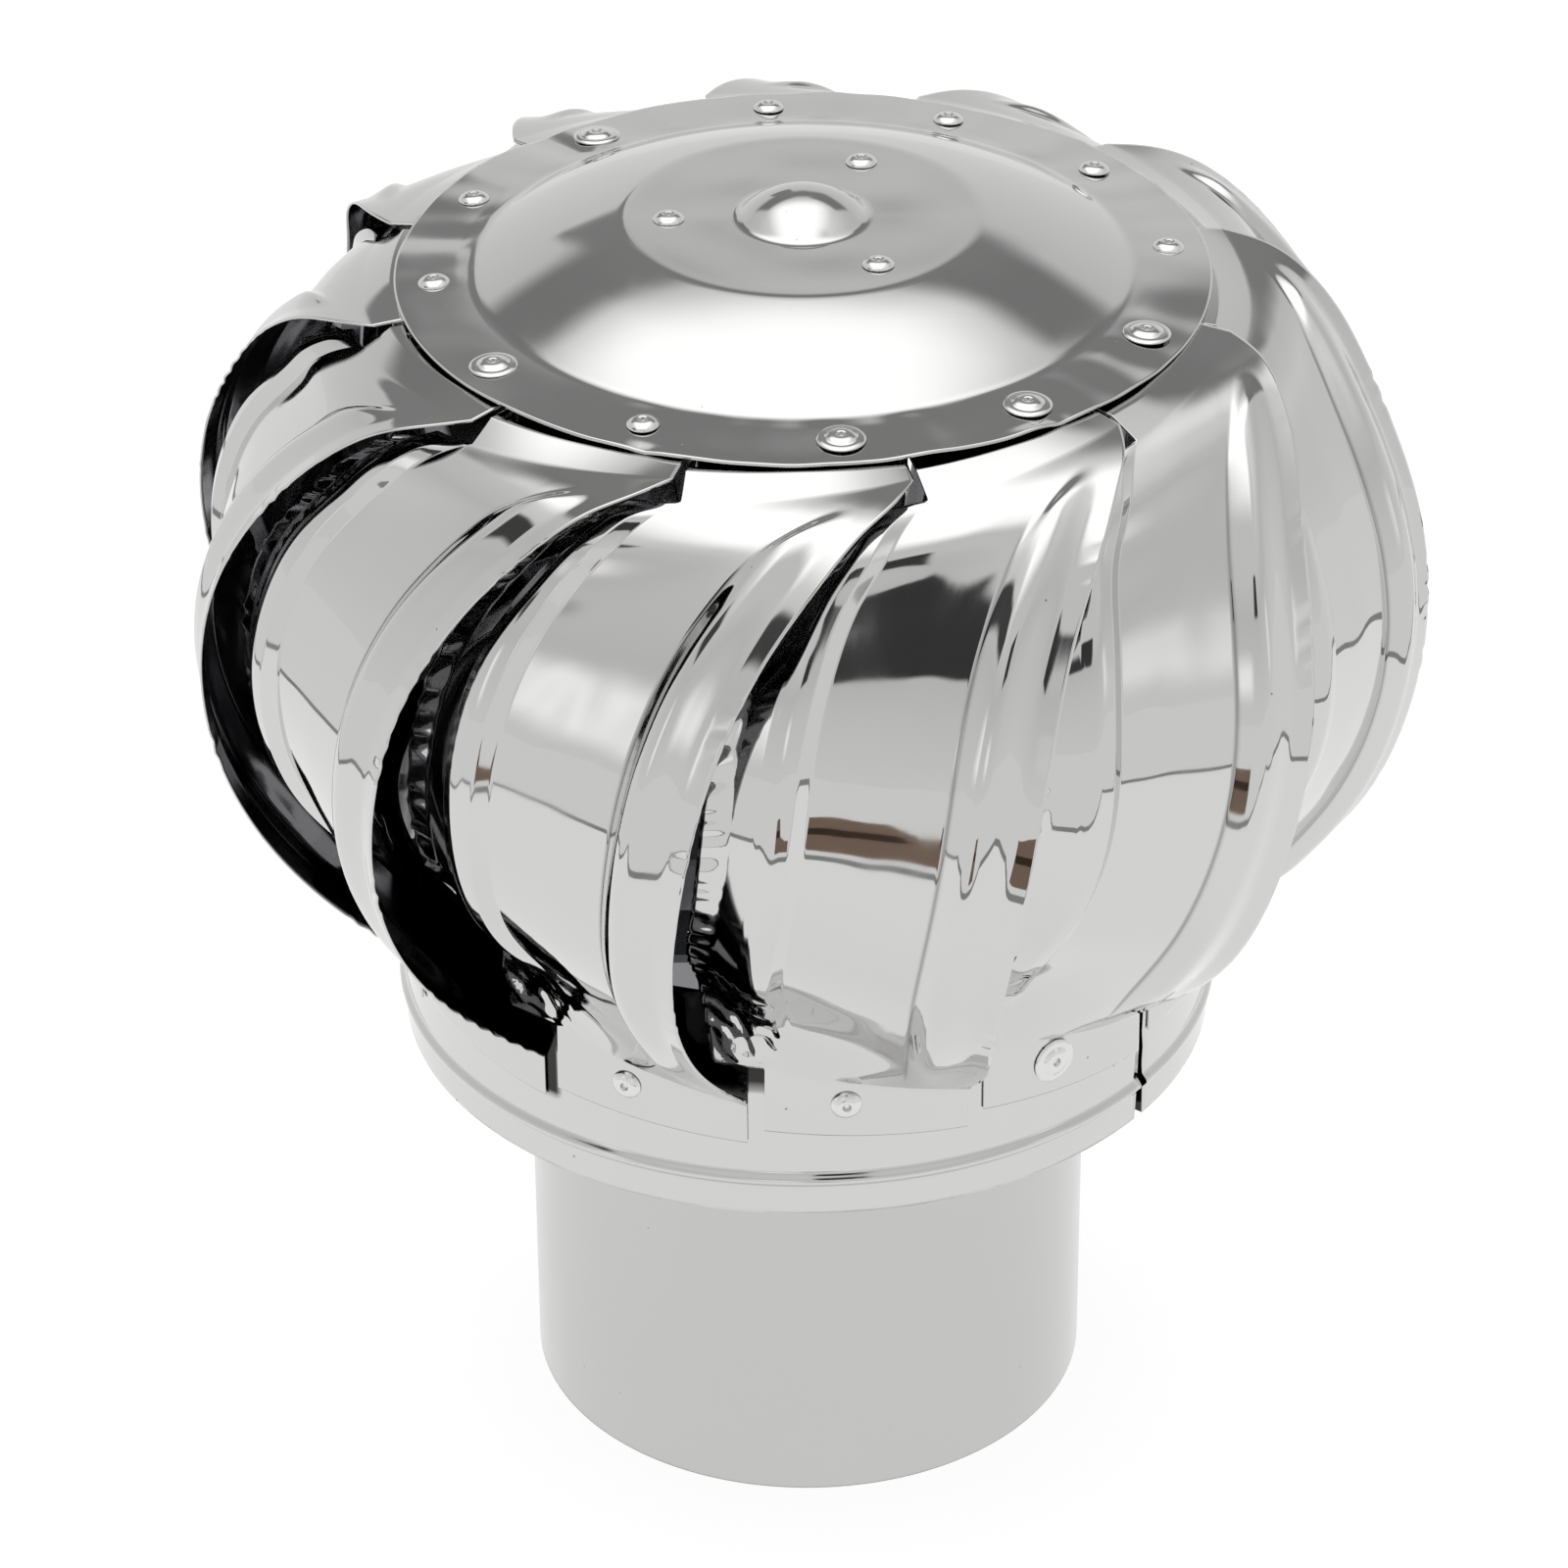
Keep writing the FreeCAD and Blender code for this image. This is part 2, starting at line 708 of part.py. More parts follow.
def bearing_cage(bore_r, out_r, width, ball_r, count, lift):
    """Ring with a pocket round each ball."""
    pitch_r = (bore_r + out_r) / 2
    middle = lift + width / 2
    height = ball_r + CAGE_WALL
    cage = tube(pitch_r - CAGE_WALL, pitch_r + CAGE_WALL, middle - height, middle + height)
    pocket = Part.makeSphere(ball_r + BALL_GAP, FreeCAD.Vector(0, -pitch_r, middle))
    pockets = [around(pocket, 360.0 / count * index) for index in range(count)]
    return cage.cut(Part.makeCompound(pockets))


# Spindle and its fixings

def spindle():
    """Steel rod with a reduced top that the upper bearing sits on."""
    bottom = STRAP_TOP - 2 * STRAP_T - WASHER_T - NUT_H - SPINDLE_TAIL
    shoulder = UP_LIFT
    top = UP_LIFT + UP_WIDTH + TOP_NUT_H + SPINDLE_PROUD
    bevel = SPINDLE_BEVEL
    groove_top = LOW_LIFT - SEAT_GAP
    groove_low = groove_top - CIRCLIP_T - SEAT_GAP
    body_r = SPINDLE_R - PRESS_GAP
    neck_r = UP_BORE_R - PRESS_GAP
    root_r = SPINDLE_R - CIRCLIP_GROOVE
    return turned([
        (0, bottom), (body_r - bevel, bottom), (body_r, bottom + bevel),
        (body_r, groove_low), (root_r, groove_low), (root_r, groove_top), (body_r, groove_top),
        (body_r, shoulder), (neck_r, shoulder),
        (neck_r, top - bevel), (neck_r - bevel, top), (0, top)])


def hex_nut(across_flats, bore_r, height, lift):
    """Hexagon nut with bevelled corners."""
    corner = across_flats / math.sqrt(3)
    points = [polar(60 * k, corner, lift) for k in range(7)]
    prism = Part.Face(Part.makePolygon(points)).extrude(FreeCAD.Vector(0, 0, height))
    bevel = 0.6 * (corner - across_flats / 2)
    flat = across_flats / 2 - NUT_BEVEL
    lens = turned([
        (0, lift), (flat, lift), (corner, lift + bevel),
        (corner, lift + height - bevel), (flat, lift + height), (0, lift + height)])
    return prism.common(lens).cut(Part.makeCylinder(bore_r, height, FreeCAD.Vector(0, 0, lift)))


def strap(top, azimuth):
    """Flat bar across the collar, with both ends bent down along its wall."""
    wall = COLLAR_R - COLLAR_T - SEAT_GAP
    bar = Part.makeCylinder(wall, STRAP_T, FreeCAD.Vector(0, 0, top - STRAP_T))
    leg = tube(wall - STRAP_T, wall, top - STRAP_LEG, top)
    width = Part.makeBox(
        2 * COLLAR_R, STRAP_W, STRAP_LEG, FreeCAD.Vector(-COLLAR_R, -STRAP_W / 2, top - STRAP_LEG))
    bore = Part.makeCylinder(
        SPINDLE_R + SEAT_GAP, 2 * STRAP_T, FreeCAD.Vector(0, 0, top - 1.5 * STRAP_T))
    return around(bar.fuse(leg).common(width).cut(bore).removeSplitter(), azimuth)


def washer(top):
    """Plain washer on the spindle."""
    return tube(SPINDLE_R + SEAT_GAP, WASHER_R, top - WASHER_T, top)


def circlip():
    """Open retaining ring in the spindle's groove, under the lower bearing."""
    top = LOW_LIFT - SEAT_GAP
    ring = tube(SPINDLE_R - CIRCLIP_GROOVE + SEAT_GAP, CIRCLIP_R, top - CIRCLIP_T, top)
    mouth = Part.makeBox(
        CIRCLIP_MOUTH, CIRCLIP_R + 1, 2 * CIRCLIP_T,
        FreeCAD.Vector(-CIRCLIP_MOUTH / 2, 0, top - 1.5 * CIRCLIP_T))
    return ring.cut(mouth)


# Housings that carry the bearings in the head

def lower_spider():
    """Cup for the lower bearing, with three arms bent down inside the ring."""
    cup_r = LOW_OUT_R + PRESS_GAP
    low = LOW_LIFT - CUP_LIP / 2 - SEAT_GAP
    floor = LOW_LIFT - SEAT_GAP
    top = LOW_LIFT + LOW_WIDTH
    cup = turned([
        (cup_r - CUP_LIP, low), (cup_r + CUP_WALL, low), (cup_r + CUP_WALL, top),
        (cup_r, top), (cup_r, floor), (cup_r - CUP_LIP, floor)])
    wall = RING_R - RING_T - SEAT_GAP
    arm_top = RING_LIFT + RING_H
    arm = Part.makeBox(
        SPIDER_W, wall - cup_r - CUP_WALL / 2, SPIDER_T,
        FreeCAD.Vector(-SPIDER_W / 2, -wall, arm_top - SPIDER_T))
    leg = tube(wall - SPIDER_T, wall, arm_top - SPIDER_LEG, arm_top)
    slab = Part.makeBox(
        SPIDER_W, RING_R / 2, SPIDER_LEG, FreeCAD.Vector(-SPIDER_W / 2, -RING_R, arm_top - SPIDER_LEG))
    bound = Part.makeCylinder(wall, SPIDER_LEG, FreeCAD.Vector(0, 0, arm_top - SPIDER_LEG))
    arm = arm.common(bound).fuse(leg.common(slab))
    arms = [around(arm, SPIDER_AZ + 360.0 / SPIDER_ARMS * index) for index in range(SPIDER_ARMS)]
    return cup.multiFuse(arms).cut(Part.makeCompound(ring_holes())).removeSplitter()


def upper_housing():
    """Turned housing: a flange under the plateau and a cup for the upper bearing."""
    cup_r = UP_OUT_R + PRESS_GAP
    flange_low = HOUSING_TOP - HOUSING_T
    body = turned([
        (cup_r - CUP_LIP, flange_low), (cup_r, flange_low), (cup_r, UP_LIFT),
        (cup_r + CUP_WALL, UP_LIFT), (cup_r + CUP_WALL, flange_low),
        (HOUSING_R, flange_low), (HOUSING_R, HOUSING_TOP), (cup_r - CUP_LIP, HOUSING_TOP)])
    return body.cut(Part.makeCompound(hub_holes()))


def build():
    """All parts by name."""
    strap_mid = STRAP_TOP - STRAP_T
    strap_low = strap_mid - STRAP_T
    low = (LOW_BORE_R, LOW_OUT_R, LOW_WIDTH, LOW_BALL_R)
    up = (UP_BORE_R, UP_OUT_R, UP_WIDTH, UP_BALL_R)
    low_inner, low_outer = bearing_rings(*low, LOW_LIFT)
    up_inner, up_outer = bearing_rings(*up, UP_LIFT)
    nut_bore = SPINDLE_R - PRESS_GAP + SEAT_GAP
    top_bore = UP_BORE_R - PRESS_GAP + SEAT_GAP
    parts = {
        "collar": collar(),
        "lower_strap": strap(strap_mid, 0),
        "upper_strap": strap(STRAP_TOP, 90),
        "spindle": spindle(),
        "clamp_washer_lower": washer(strap_low),
        "clamp_washer_upper": washer(STRAP_TOP + WASHER_T),
        "clamp_nut_lower": hex_nut(NUT_AF, nut_bore, NUT_H, strap_low - WASHER_T - NUT_H),
        "clamp_nut_upper": hex_nut(NUT_AF, nut_bore, NUT_H, STRAP_TOP + WASHER_T),
        "spindle_circlip": circlip(),
        "lower_bearing_inner": low_inner,
        "lower_bearing_outer": low_outer,
        "lower_bearing_balls": bearing_balls(*low, LOW_BALLS, LOW_LIFT),
        "lower_bearing_cage": bearing_cage(*low, LOW_BALLS, LOW_LIFT),
        "upper_bearing_inner": up_inner,
        "upper_bearing_outer": up_outer,
        "upper_bearing_balls": bearing_balls(*up, UP_BALLS, UP_LIFT),
        "upper_bearing_cage": bearing_cage(*up, UP_BALLS, UP_LIFT),
        "spindle_top_nut": hex_nut(TOP_NUT_AF, top_bore, TOP_NUT_H, UP_LIFT + UP_WIDTH),
        "upper_bearing_housing": upper_housing(),
        "lower_spider": lower_spider(),
        "turbine_ring": turbine_ring(),
        "top_cap": top_cap(),
        "cap_rivets_large": cap_rivets(True),
        "cap_rivets_small": cap_rivets(False),
        "ring_rivets_large": ring_rivets(True),
        "ring_rivets_small": ring_rivets(False),
        "plateau_rivets": plateau_rivets(),
    }
    for number, shape in enumerate(blades(), start=1):
        parts["blade_%02d" % number] = shape
    return parts


os.makedirs("parts", exist_ok=True)
for name, shape in build().items():
    shape.exportStep("parts/%s.step" % name)
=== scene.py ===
"""Looks of a rotating chimney cowl: polished sheet metal round the fixed frame of its CAD parts.

Sizes are millimetres in the code and metres in the meshes. The origin is the centre of the collar's
lower end, +Z is up, the front faces -Y, and azimuths are degrees from the front towards +X.
"""
import json
import logging
import math
from dataclasses import dataclass, field
from enum import Enum
from typing import Callable, Sequence

import bmesh
import bpy
import numpy as np
from bmesh.types import BMEdge, BMesh, BMVert
from bpy.types import Material, Node, NodeSocket, NodeTree, Object
from mathutils import Matrix, Vector, noise


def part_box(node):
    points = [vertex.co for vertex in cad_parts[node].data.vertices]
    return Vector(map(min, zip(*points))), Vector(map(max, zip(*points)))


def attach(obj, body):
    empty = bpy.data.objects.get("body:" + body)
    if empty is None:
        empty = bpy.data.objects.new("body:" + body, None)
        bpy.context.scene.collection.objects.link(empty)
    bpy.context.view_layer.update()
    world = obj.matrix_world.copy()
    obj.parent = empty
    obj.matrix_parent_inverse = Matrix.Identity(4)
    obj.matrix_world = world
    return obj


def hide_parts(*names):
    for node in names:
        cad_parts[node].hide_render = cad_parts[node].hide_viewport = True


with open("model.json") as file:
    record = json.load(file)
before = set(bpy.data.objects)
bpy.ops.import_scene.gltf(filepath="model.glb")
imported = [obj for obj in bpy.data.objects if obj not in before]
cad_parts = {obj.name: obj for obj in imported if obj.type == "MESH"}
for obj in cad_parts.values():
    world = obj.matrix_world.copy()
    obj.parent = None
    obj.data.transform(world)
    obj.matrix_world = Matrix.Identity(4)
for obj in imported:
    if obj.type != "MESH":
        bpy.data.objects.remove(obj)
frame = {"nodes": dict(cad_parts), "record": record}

logging.basicConfig(level=logging.INFO, format="%(name)s: %(message)s")
log = logging.getLogger("cowl")

MM = 0.001
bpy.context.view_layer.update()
SEED = 20.0
# Points closer than this are one, and an edge that rises less is level, in millimetres
WELD = 1e-4
LEVEL = 1e-3
# Attribute that tells a finish where a sheet gets painted shade, from 0 to 1
PAINTED_SHADE_MASK = "crease"

# Sizes that several sheets and their rivets share
RING_LIFT = 114.0
RIM_R = 102.5
RIM_Z = 328.2
CREASE_R = 82.5
FLANGE_RISE = 1.2
CAP_WALL = 0.6


# Small helpers

def linear(hex_colour: str) -> tuple[float, float, float, float]:
    """Turn an sRGB hex value into the linear colour that a shader socket takes.

    Args:
        hex_colour: six hex digits, such as "D8D8D6".

    Returns:
        Linear red, green, blue and an alpha of 1.
    """
    channels = [int(hex_colour[i:i + 2], 16) / 255 for i in (0, 2, 4)]
    turned = [c / 12.92 if c <= 0.04045 else ((c + 0.055) / 1.055) ** 2.4 for c in channels]
    return (*turned, 1.0)


def ramp(value: float, start: float, end: float) -> float:
    """Smooth step from 0 at start to 1 at end.

    Args:
        value: where on the ramp.
        start: value at which the step begins.
        end: value at which it has ended.

    Returns:
        Share between 0 and 1.
    """
    share = min(max((value - start) / (end - start), 0.0), 1.0)
    return share * share * (3 - 2 * share)


def swell(share: float, run: Sequence[float]) -> float:
    """Rise between the first two shares of a run, and fall between the others, counted from the end."""
    return ramp(share, run[0], run[1]) * ramp(1 - share, run[2], run[3])


def polar(azimuth: float, radius: float, height: float) -> np.ndarray:
    """Point at an azimuth from the front, a radius and a height.

    Args:
        azimuth: degrees from the front, positive to the right.
        radius: distance from the spindle's axis.
        height: height over the collar's lower end.

    Returns:
        The point as an array of three numbers.
    """
    angle = math.radians(azimuth)
    return np.array([radius * math.sin(angle), -radius * math.cos(angle), height])


def azimuth_of(place: Sequence[float]) -> float:
    """Degrees from the front to a point, positive to the right."""
    return math.degrees(math.atan2(place[0], -place[1]))


def spread(spans: Sequence[tuple[float, float, int]]) -> list[float]:
    """Values that run through spans with a number of steps in each.

    Args:
        spans: (start, end, steps) of each span, in order.

    Returns:
        The values, with the first start and every step after it.
    """
    values = [spans[0][0]]
    for start, end, steps in spans:
        values += [start + (end - start) * k / steps for k in range(1, steps + 1)]
    return values


def rough(first: float, second: float, third: float) -> float:
    """Smooth uneven value between about -1 and 1, always the same for the same three numbers."""
    return noise.noise(Vector((first, second, third)))


def ripple(azimuth: float, waves: int, seed: float) -> float:
    """Uneven wave round a circle, between about -1 and 1.

    Args:
        azimuth: degrees round the circle.
        waves: how many swings fit the circle.
        seed: sets one pattern apart from another.

    Returns:
        Height of the wave.
    """
    angle = math.radians(azimuth)
    reach = waves / math.tau
    return 2 * rough(reach * math.cos(angle), reach * math.sin(angle), seed)


class Curve:
    """Smooth curve through points, read by its share of length."""

    SAMPLES = 600

    def __init__(self, points: Sequence[np.ndarray]) -> None:
        """Fit a natural cubic spline and measure it.

        Args:
            points: points that the curve goes through, in order.
        """
        self.points = np.array(points, dtype=float)
        steps = np.linalg.norm(np.diff(self.points, axis=0), axis=1)
        self.knots = np.concatenate([[0.0], np.cumsum(steps)])
        self.bends = self._bends(steps)
        self.places = np.linspace(0.0, self.knots[-1], self.SAMPLES)
        run = np.array([self._at(place) for place in self.places])
        lengths = np.linalg.norm(np.diff(run, axis=0), axis=1)
        self.lengths = np.concatenate([[0.0], np.cumsum(lengths)])

    @property
    def length(self) -> float:
        """Length of the curve."""
        return float(self.lengths[-1])

    def _bends(self, steps: np.ndarray) -> np.ndarray:
        """Second derivatives at the points.

        Args:
            steps: distances between neighbouring points.

        Returns:
            One row of three numbers for each point.
        """
        count = len(self.points)
        matrix = np.eye(count)
        right = np.zeros((count, 3))
        for i in range(1, count - 1):
            before, after = steps[i - 1], steps[i]
            matrix[i, i - 1:i + 2] = before / 6, (before + after) / 3, after / 6
            slope_after = (self.points[i + 1] - self.points[i]) / after
            slope_before = (self.points[i] - self.points[i - 1]) / before
            right[i] = slope_after - slope_before
        return np.linalg.solve(matrix, right)

    def _at(self, place: float) -> np.ndarray:
        """Point at a place along the chords.

        Args:
            place: distance along the straight lines between the points.

        Returns:
            The point.
        """
        i = int(np.clip(np.searchsorted(self.knots, place) - 1, 0, len(self.points) - 2))
        step = self.knots[i + 1] - self.knots[i]
        b = (place - self.knots[i]) / step
        a = 1 - b
        bend = (a ** 3 - a) * self.bends[i] + (b ** 3 - b) * self.bends[i + 1]
        return a * self.points[i] + b * self.points[i + 1] + bend * step ** 2 / 6

    def at(self, share: float) -> np.ndarray:
        """Point at a share of the curve's length, 0 at the start and 1 at the end."""
        return self._at(float(np.interp(share * self.length, self.lengths, self.places)))


# Finishes

class Grain(Enum):
    """How a sheet's rolling marks run."""

    ROUND = "round the axis"
    NONE = "no direction"


def add_node(
    tree: NodeTree, kind: str, settings: dict | None = None, links: dict | None = None
) -> Node:
    """Add a node with its settings and links.

    Args:
        tree: node tree that gets the node.
        kind: the node's type name.
        settings: attributes of the node, or default values of its input sockets.
        links: output sockets by the input socket that each goes to.

    Returns:
        The new node.
    """
    node = tree.nodes.new(kind)
    for name, value in (settings or {}).items():
        if hasattr(node, str(name)):
            setattr(node, name, value)
        else:
            node.inputs[name].default_value = value
    for name, socket in (links or {}).items():
        tree.links.new(socket, node.inputs[name])
    return node


@dataclass(frozen=True)
class SheetFinish:
    """A metal surface with rolling marks, scratches, specks and a soft unevenness.

    Lengths are in millimetres. Roughness runs from the clean to the handled places. Rolling marks are
    stretch times longer than wide, and those round the axis have that length at mark_r from it. Of all
    specks, only those above speck_rarity show.
    """

    name: str
    colour: str
    worn_colour: str
    roughness: float
    handled: float
    grain: Grain
    grain_pitch: float
    grain_depth: float
    wave_pitch: float
    wave_depth: float
    speck_pitch: float
    speck_share: float
    # Colour of painted shade, which takes over where the sheet's shade attribute is set
    painted_shade_colour: str = "3A3938"
    smear_pitch: float = 35.714
    stretch: float = 60.0
    mark_r: float = 100.0
    speck_rarity: float = 0.72
    speck_roughness: float = 0.25

    def _stretched(self, tree: NodeTree, place: NodeSocket) -> NodeSocket:
        """Coordinates drawn out along the rolling direction.

        Args:
            tree: the material's node tree.
            place: object coordinates.

        Returns:
            Coordinates in which an even pattern makes long marks.
        """
        fine = 1 / (self.grain_pitch * MM)
        if self.grain is Grain.NONE:
            even = add_node(tree, "ShaderNodeMapping", {"Scale": (fine,) * 3}, {"Vector": place})
            return even.outputs[0]
        x, y, z = add_node(tree, "ShaderNodeSeparateXYZ", links={"Vector": place}).outputs
        angle = add_node(tree, "ShaderNodeMath", {"operation": "ARCTAN2"}, {0: x, 1: y})
        flat = add_node(tree, "ShaderNodeCombineXYZ", links={"X": x, "Y": y})
        radius = add_node(tree, "ShaderNodeVectorMath", {"operation": "LENGTH"}, {0: flat.outputs[0]})
        along = self.mark_r / (self.stretch * self.grain_pitch)
        links = {}
        for axis, value, scale in (
                ("X", angle.outputs[0], along), ("Y", radius.outputs["Value"], fine), ("Z", z, fine)):
            product = add_node(tree, "ShaderNodeMath", {"operation": "MULTIPLY", 1: scale}, {0: value})
            links[axis] = product.outputs[0]
        return add_node(tree, "ShaderNodeCombineXYZ", links=links).outputs[0]

    def make(self) -> Material:
        """Build the material.

        Returns:
            The material, ready for an object's slot.
        """
        material = bpy.data.materials.new(self.name)
        material.use_nodes = True
        tree = material.node_tree
        tree.nodes.clear()
        place = add_node(tree, "ShaderNodeTexCoord").outputs["Object"]

        smear = add_node(
            tree, "ShaderNodeTexNoise",
            {"Scale": 1 / (self.smear_pitch * MM), "Detail": 5.0, "Roughness": 0.62, "Distortion": 0.8},
            {"Vector": place})
        smear_step = add_node(
            tree, "ShaderNodeMapRange",
            {"From Min": 0.42, "From Max": 0.74, "To Min": self.roughness, "To Max": self.handled},
            {"Value": smear.outputs["Fac"]})

        marks = add_node(
            tree, "ShaderNodeTexNoise", {"Scale": 1.0, "Detail": 3.0, "Roughness": 0.6},
            {"Vector": self._stretched(tree, place)})

        specks = add_node(
            tree, "ShaderNodeTexVoronoi", {"feature": "F1", "Scale": 1 / (self.speck_pitch * MM)},
            {"Vector": place})
        speck = add_node(
            tree, "ShaderNodeMapRange", {"From Min": self.speck_share, "From Max": 0.6 * self.speck_share},
            {"Value": specks.outputs["Distance"]})
        chosen = add_node(
            tree, "ShaderNodeMath", {"operation": "GREATER_THAN", 1: self.speck_rarity},
            {0: specks.outputs["Color"]})
        dirt_and_painted_shade = add_node(
            tree, "ShaderNodeMath", {"operation": "MULTIPLY"},
            {0: speck.outputs["Result"], 1: chosen.outputs[0]})

        roughness = add_node(
            tree, "ShaderNodeMath", {"operation": "MULTIPLY_ADD", 1: self.speck_roughness},
            {0: dirt_and_painted_shade.outputs[0], 2: smear_step.outputs["Result"]})
        tint = add_node(tree, "ShaderNodeMix", {"data_type": "RGBA"}, {0: dirt_and_painted_shade.outputs[0]})
        tint.inputs[6].default_value = linear(self.colour)
        tint.inputs[7].default_value = linear(self.worn_colour)
        # Painted shade: the colour turns dark where the sheet's shade attribute is set
        crease = add_node(tree, "ShaderNodeAttribute", {"attribute_name": PAINTED_SHADE_MASK})
        tint = add_node(
            tree, "ShaderNodeMix", {"data_type": "RGBA"}, {0: crease.outputs["Fac"], 6: tint.outputs[2]})
        tint.inputs[7].default_value = linear(self.painted_shade_colour)

        wave = add_node(
            tree, "ShaderNodeTexNoise", {"Scale": 1 / (self.wave_pitch * MM), "Detail": 1.5},
            {"Vector": place})
        soft = add_node(
            tree, "ShaderNodeBump", {"Strength": 1.0, "Distance": self.wave_depth * MM},
            {"Height": wave.outputs["Fac"]})
        fine = add_node(
            tree, "ShaderNodeBump", {"Strength": 1.0, "Distance": self.grain_depth * MM},
            {"Height": marks.outputs["Fac"], "Normal": soft.outputs["Normal"]})

        shader = add_node(
            tree, "ShaderNodeBsdfPrincipled", {"Metallic": 1.0},
            {"Base Color": tint.outputs[2], "Roughness": roughness.outputs[0], "Normal": fine.outputs[0]})
        add_node(tree, "ShaderNodeOutputMaterial", links={"Surface": shader.outputs["BSDF"]})
        return material


# Bright-annealed stainless strip, rolled and pressed: a near mirror with faint rolling lines
MIRROR_BLADE = SheetFinish(
    "mirror_stainless_pressed", "CFCFCE", "8C8984", 0.03, 0.1, Grain.NONE, 0.8, 0.0006, 22.0, 0.03, 9.0,
    0.045)
MIRROR_CAP = SheetFinish(
    "mirror_stainless_spun", "CDCDCC", "B9B8B5", 0.04, 0.13, Grain.ROUND, 0.5, 0.0006, 30.0, 0.03, 7.0, 0.05)
MIRROR_RING = SheetFinish(
    "mirror_stainless_rolled", "D0D0CE", "8A8782", 0.05, 0.14, Grain.ROUND, 0.4, 0.0008, 26.0, 0.04, 8.0,
    0.05)
# The strip's other face, dull, in a darker copy of the mirror metal as painted shade; it only shows inside
# the head
INSIDE_PAINTED_SHADE = SheetFinish(
    "inner_face_painted_shade", "858588", "4A4948", 0.1, 0.22, Grain.NONE, 0.8, 0.0006, 22.0, 0.05, 9.0, 0.045)
# Plain stainless pipe with a dull mill finish
SATIN_COLLAR = SheetFinish(
    "satin_stainless_pipe", "C2C2C1", "9E9B95", 0.2, 0.27, Grain.ROUND, 0.35, 0.0012, 40.0, 0.05, 6.0, 0.05)
# Blind rivets with drawn heads, bright from forming
RIVET_METAL = SheetFinish(
    "bright_rivet_steel", "DCDCDA", "77746F", 0.1, 0.22, Grain.NONE, 0.5, 0.002, 3.0, 0.01, 2.0, 0.07)
# Mild steel with bright zinc plating: slightly blue, cloudy
ZINC_STEEL = SheetFinish(
    "zinc_plated_steel", "B9BCC0", "85878A", 0.26, 0.42, Grain.NONE, 0.6, 0.004, 8.0, 0.02, 3.0, 0.09)
# Hardened bearing steel, ground
GROUND_STEEL = SheetFinish(
    "ground_bearing_steel", "C6C7C9", "8F8F90", 0.08, 0.18, Grain.ROUND, 0.2, 0.001, 10.0, 0.004, 3.0, 0.05)
# Thin pressed steel of the ball cages
PRESSED_STEEL = SheetFinish(
    "pressed_cage_steel", "9A9B9D", "6D6E70", 0.25, 0.4, Grain.NONE, 0.4, 0.003, 6.0, 0.01, 2.0, 0.08)


# Meshes

def finish_mesh(bm: BMesh, name: str, material: Material) -> Object:
    """Turn a bmesh in millimetres into a smooth object in metres.

    Args:
        bm: the bmesh, which is freed.
        name: name of the object and its mesh.
        material: its material.

    Returns:
        The object, linked to the scene, at the origin.
    """
    bmesh.ops.scale(bm, vec=(MM,) * 3, verts=bm.verts)
    for face in bm.faces:
        face.smooth = True
    mesh = bpy.data.meshes.new(name)
    bm.to_mesh(mesh)
    bm.free()
    mesh.materials.append(material)
    piece = bpy.data.objects.new(name, mesh)
    bpy.context.scene.collection.objects.link(piece)
    return piece


def thicken(piece: Object, thickness: float, inside: Material | None = None) -> None:
    """Give a sheet its thickness inwards from its outer face.

    Args:
        piece: object whose mesh is the outer face.
        thickness: millimetres.
        inside: material of the inner face, where it differs.
    """
    wall = piece.modifiers.new("wall", "SOLIDIFY")
    if inside is not None:
        piece.data.materials.append(inside)
        wall.material_offset = 1
    wall.thickness = thickness * MM
    wall.offset = -1.0
    wall.use_even_offset = True
    wall.use_quality_normals = True


def spun(
    outline: Sequence[tuple[float, float]], segments: int, start: float = 0.0, turn: float = 360.0
) -> BMesh:
    """Surface of revolution about Z from an outline.

    Args:
        outline: (radius, height) points. Ends on the axis are closed.
        segments: steps round the axis.
        start: azimuth at which the turn begins.
        turn: degrees turned, anticlockwise seen from above.

    Returns:
        The bmesh, in millimetres.
    """
    bm = bmesh.new()
    corners = [bm.verts.new(Vector(polar(start, r, z))) for r, z in outline]
    edges = [bm.edges.new(pair) for pair in zip(corners, corners[1:])]
    bmesh.ops.spin(
        bm, geom=corners + edges, cent=(0, 0, 0), axis=(0, 0, 1), angle=math.radians(turn), steps=segments,
        use_merge=turn >= 360.0, use_duplicate=False)
    bmesh.ops.remove_doubles(bm, verts=bm.verts, dist=WELD)
    return bm


def arc(
    start: tuple[float, float], middle: tuple[float, float], end: tuple[float, float], steps: int
) -> list[tuple[float, float]]:
    """Points on the arc through three (radius, height) points.

    Args:
        start: first point.
        middle: a point between.
        end: last point.
        steps: how many pieces the arc is cut into.

    Returns:
        steps + 1 points, ends included.
    """
    (ax, ay), (bx, by), (cx, cy) = start, middle, end
    d = 2 * (ax * (by - cy) + bx * (cy - ay) + cx * (ay - by))
    a2, b2, c2 = ax * ax + ay * ay, bx * bx + by * by, cx * cx + cy * cy
    ux = (a2 * (by - cy) + b2 * (cy - ay) + c2 * (ay - by)) / d
    uy = (a2 * (cx - bx) + b2 * (ax - cx) + c2 * (bx - ax)) / d
    radius = math.hypot(ax - ux, ay - uy)
    first = math.atan2(ay - uy, ax - ux)
    through = (math.atan2(by - uy, bx - ux) - first) % math.tau
    last = (math.atan2(cy - uy, cx - ux) - first) % math.tau
    sweep = last if through <= last else last - math.tau
    angles = [first + sweep * k / steps for k in range(steps + 1)]
    return [(ux + radius * math.cos(t), uy + radius * math.sin(t)) for t in angles]


def shaped(bm: BMesh, move: Callable[[Vector], Vector]) -> None:
    """Move every vertex to the place that a rule gives for its old one."""
    for vert in bm.verts:
        vert.co = move(vert.co)


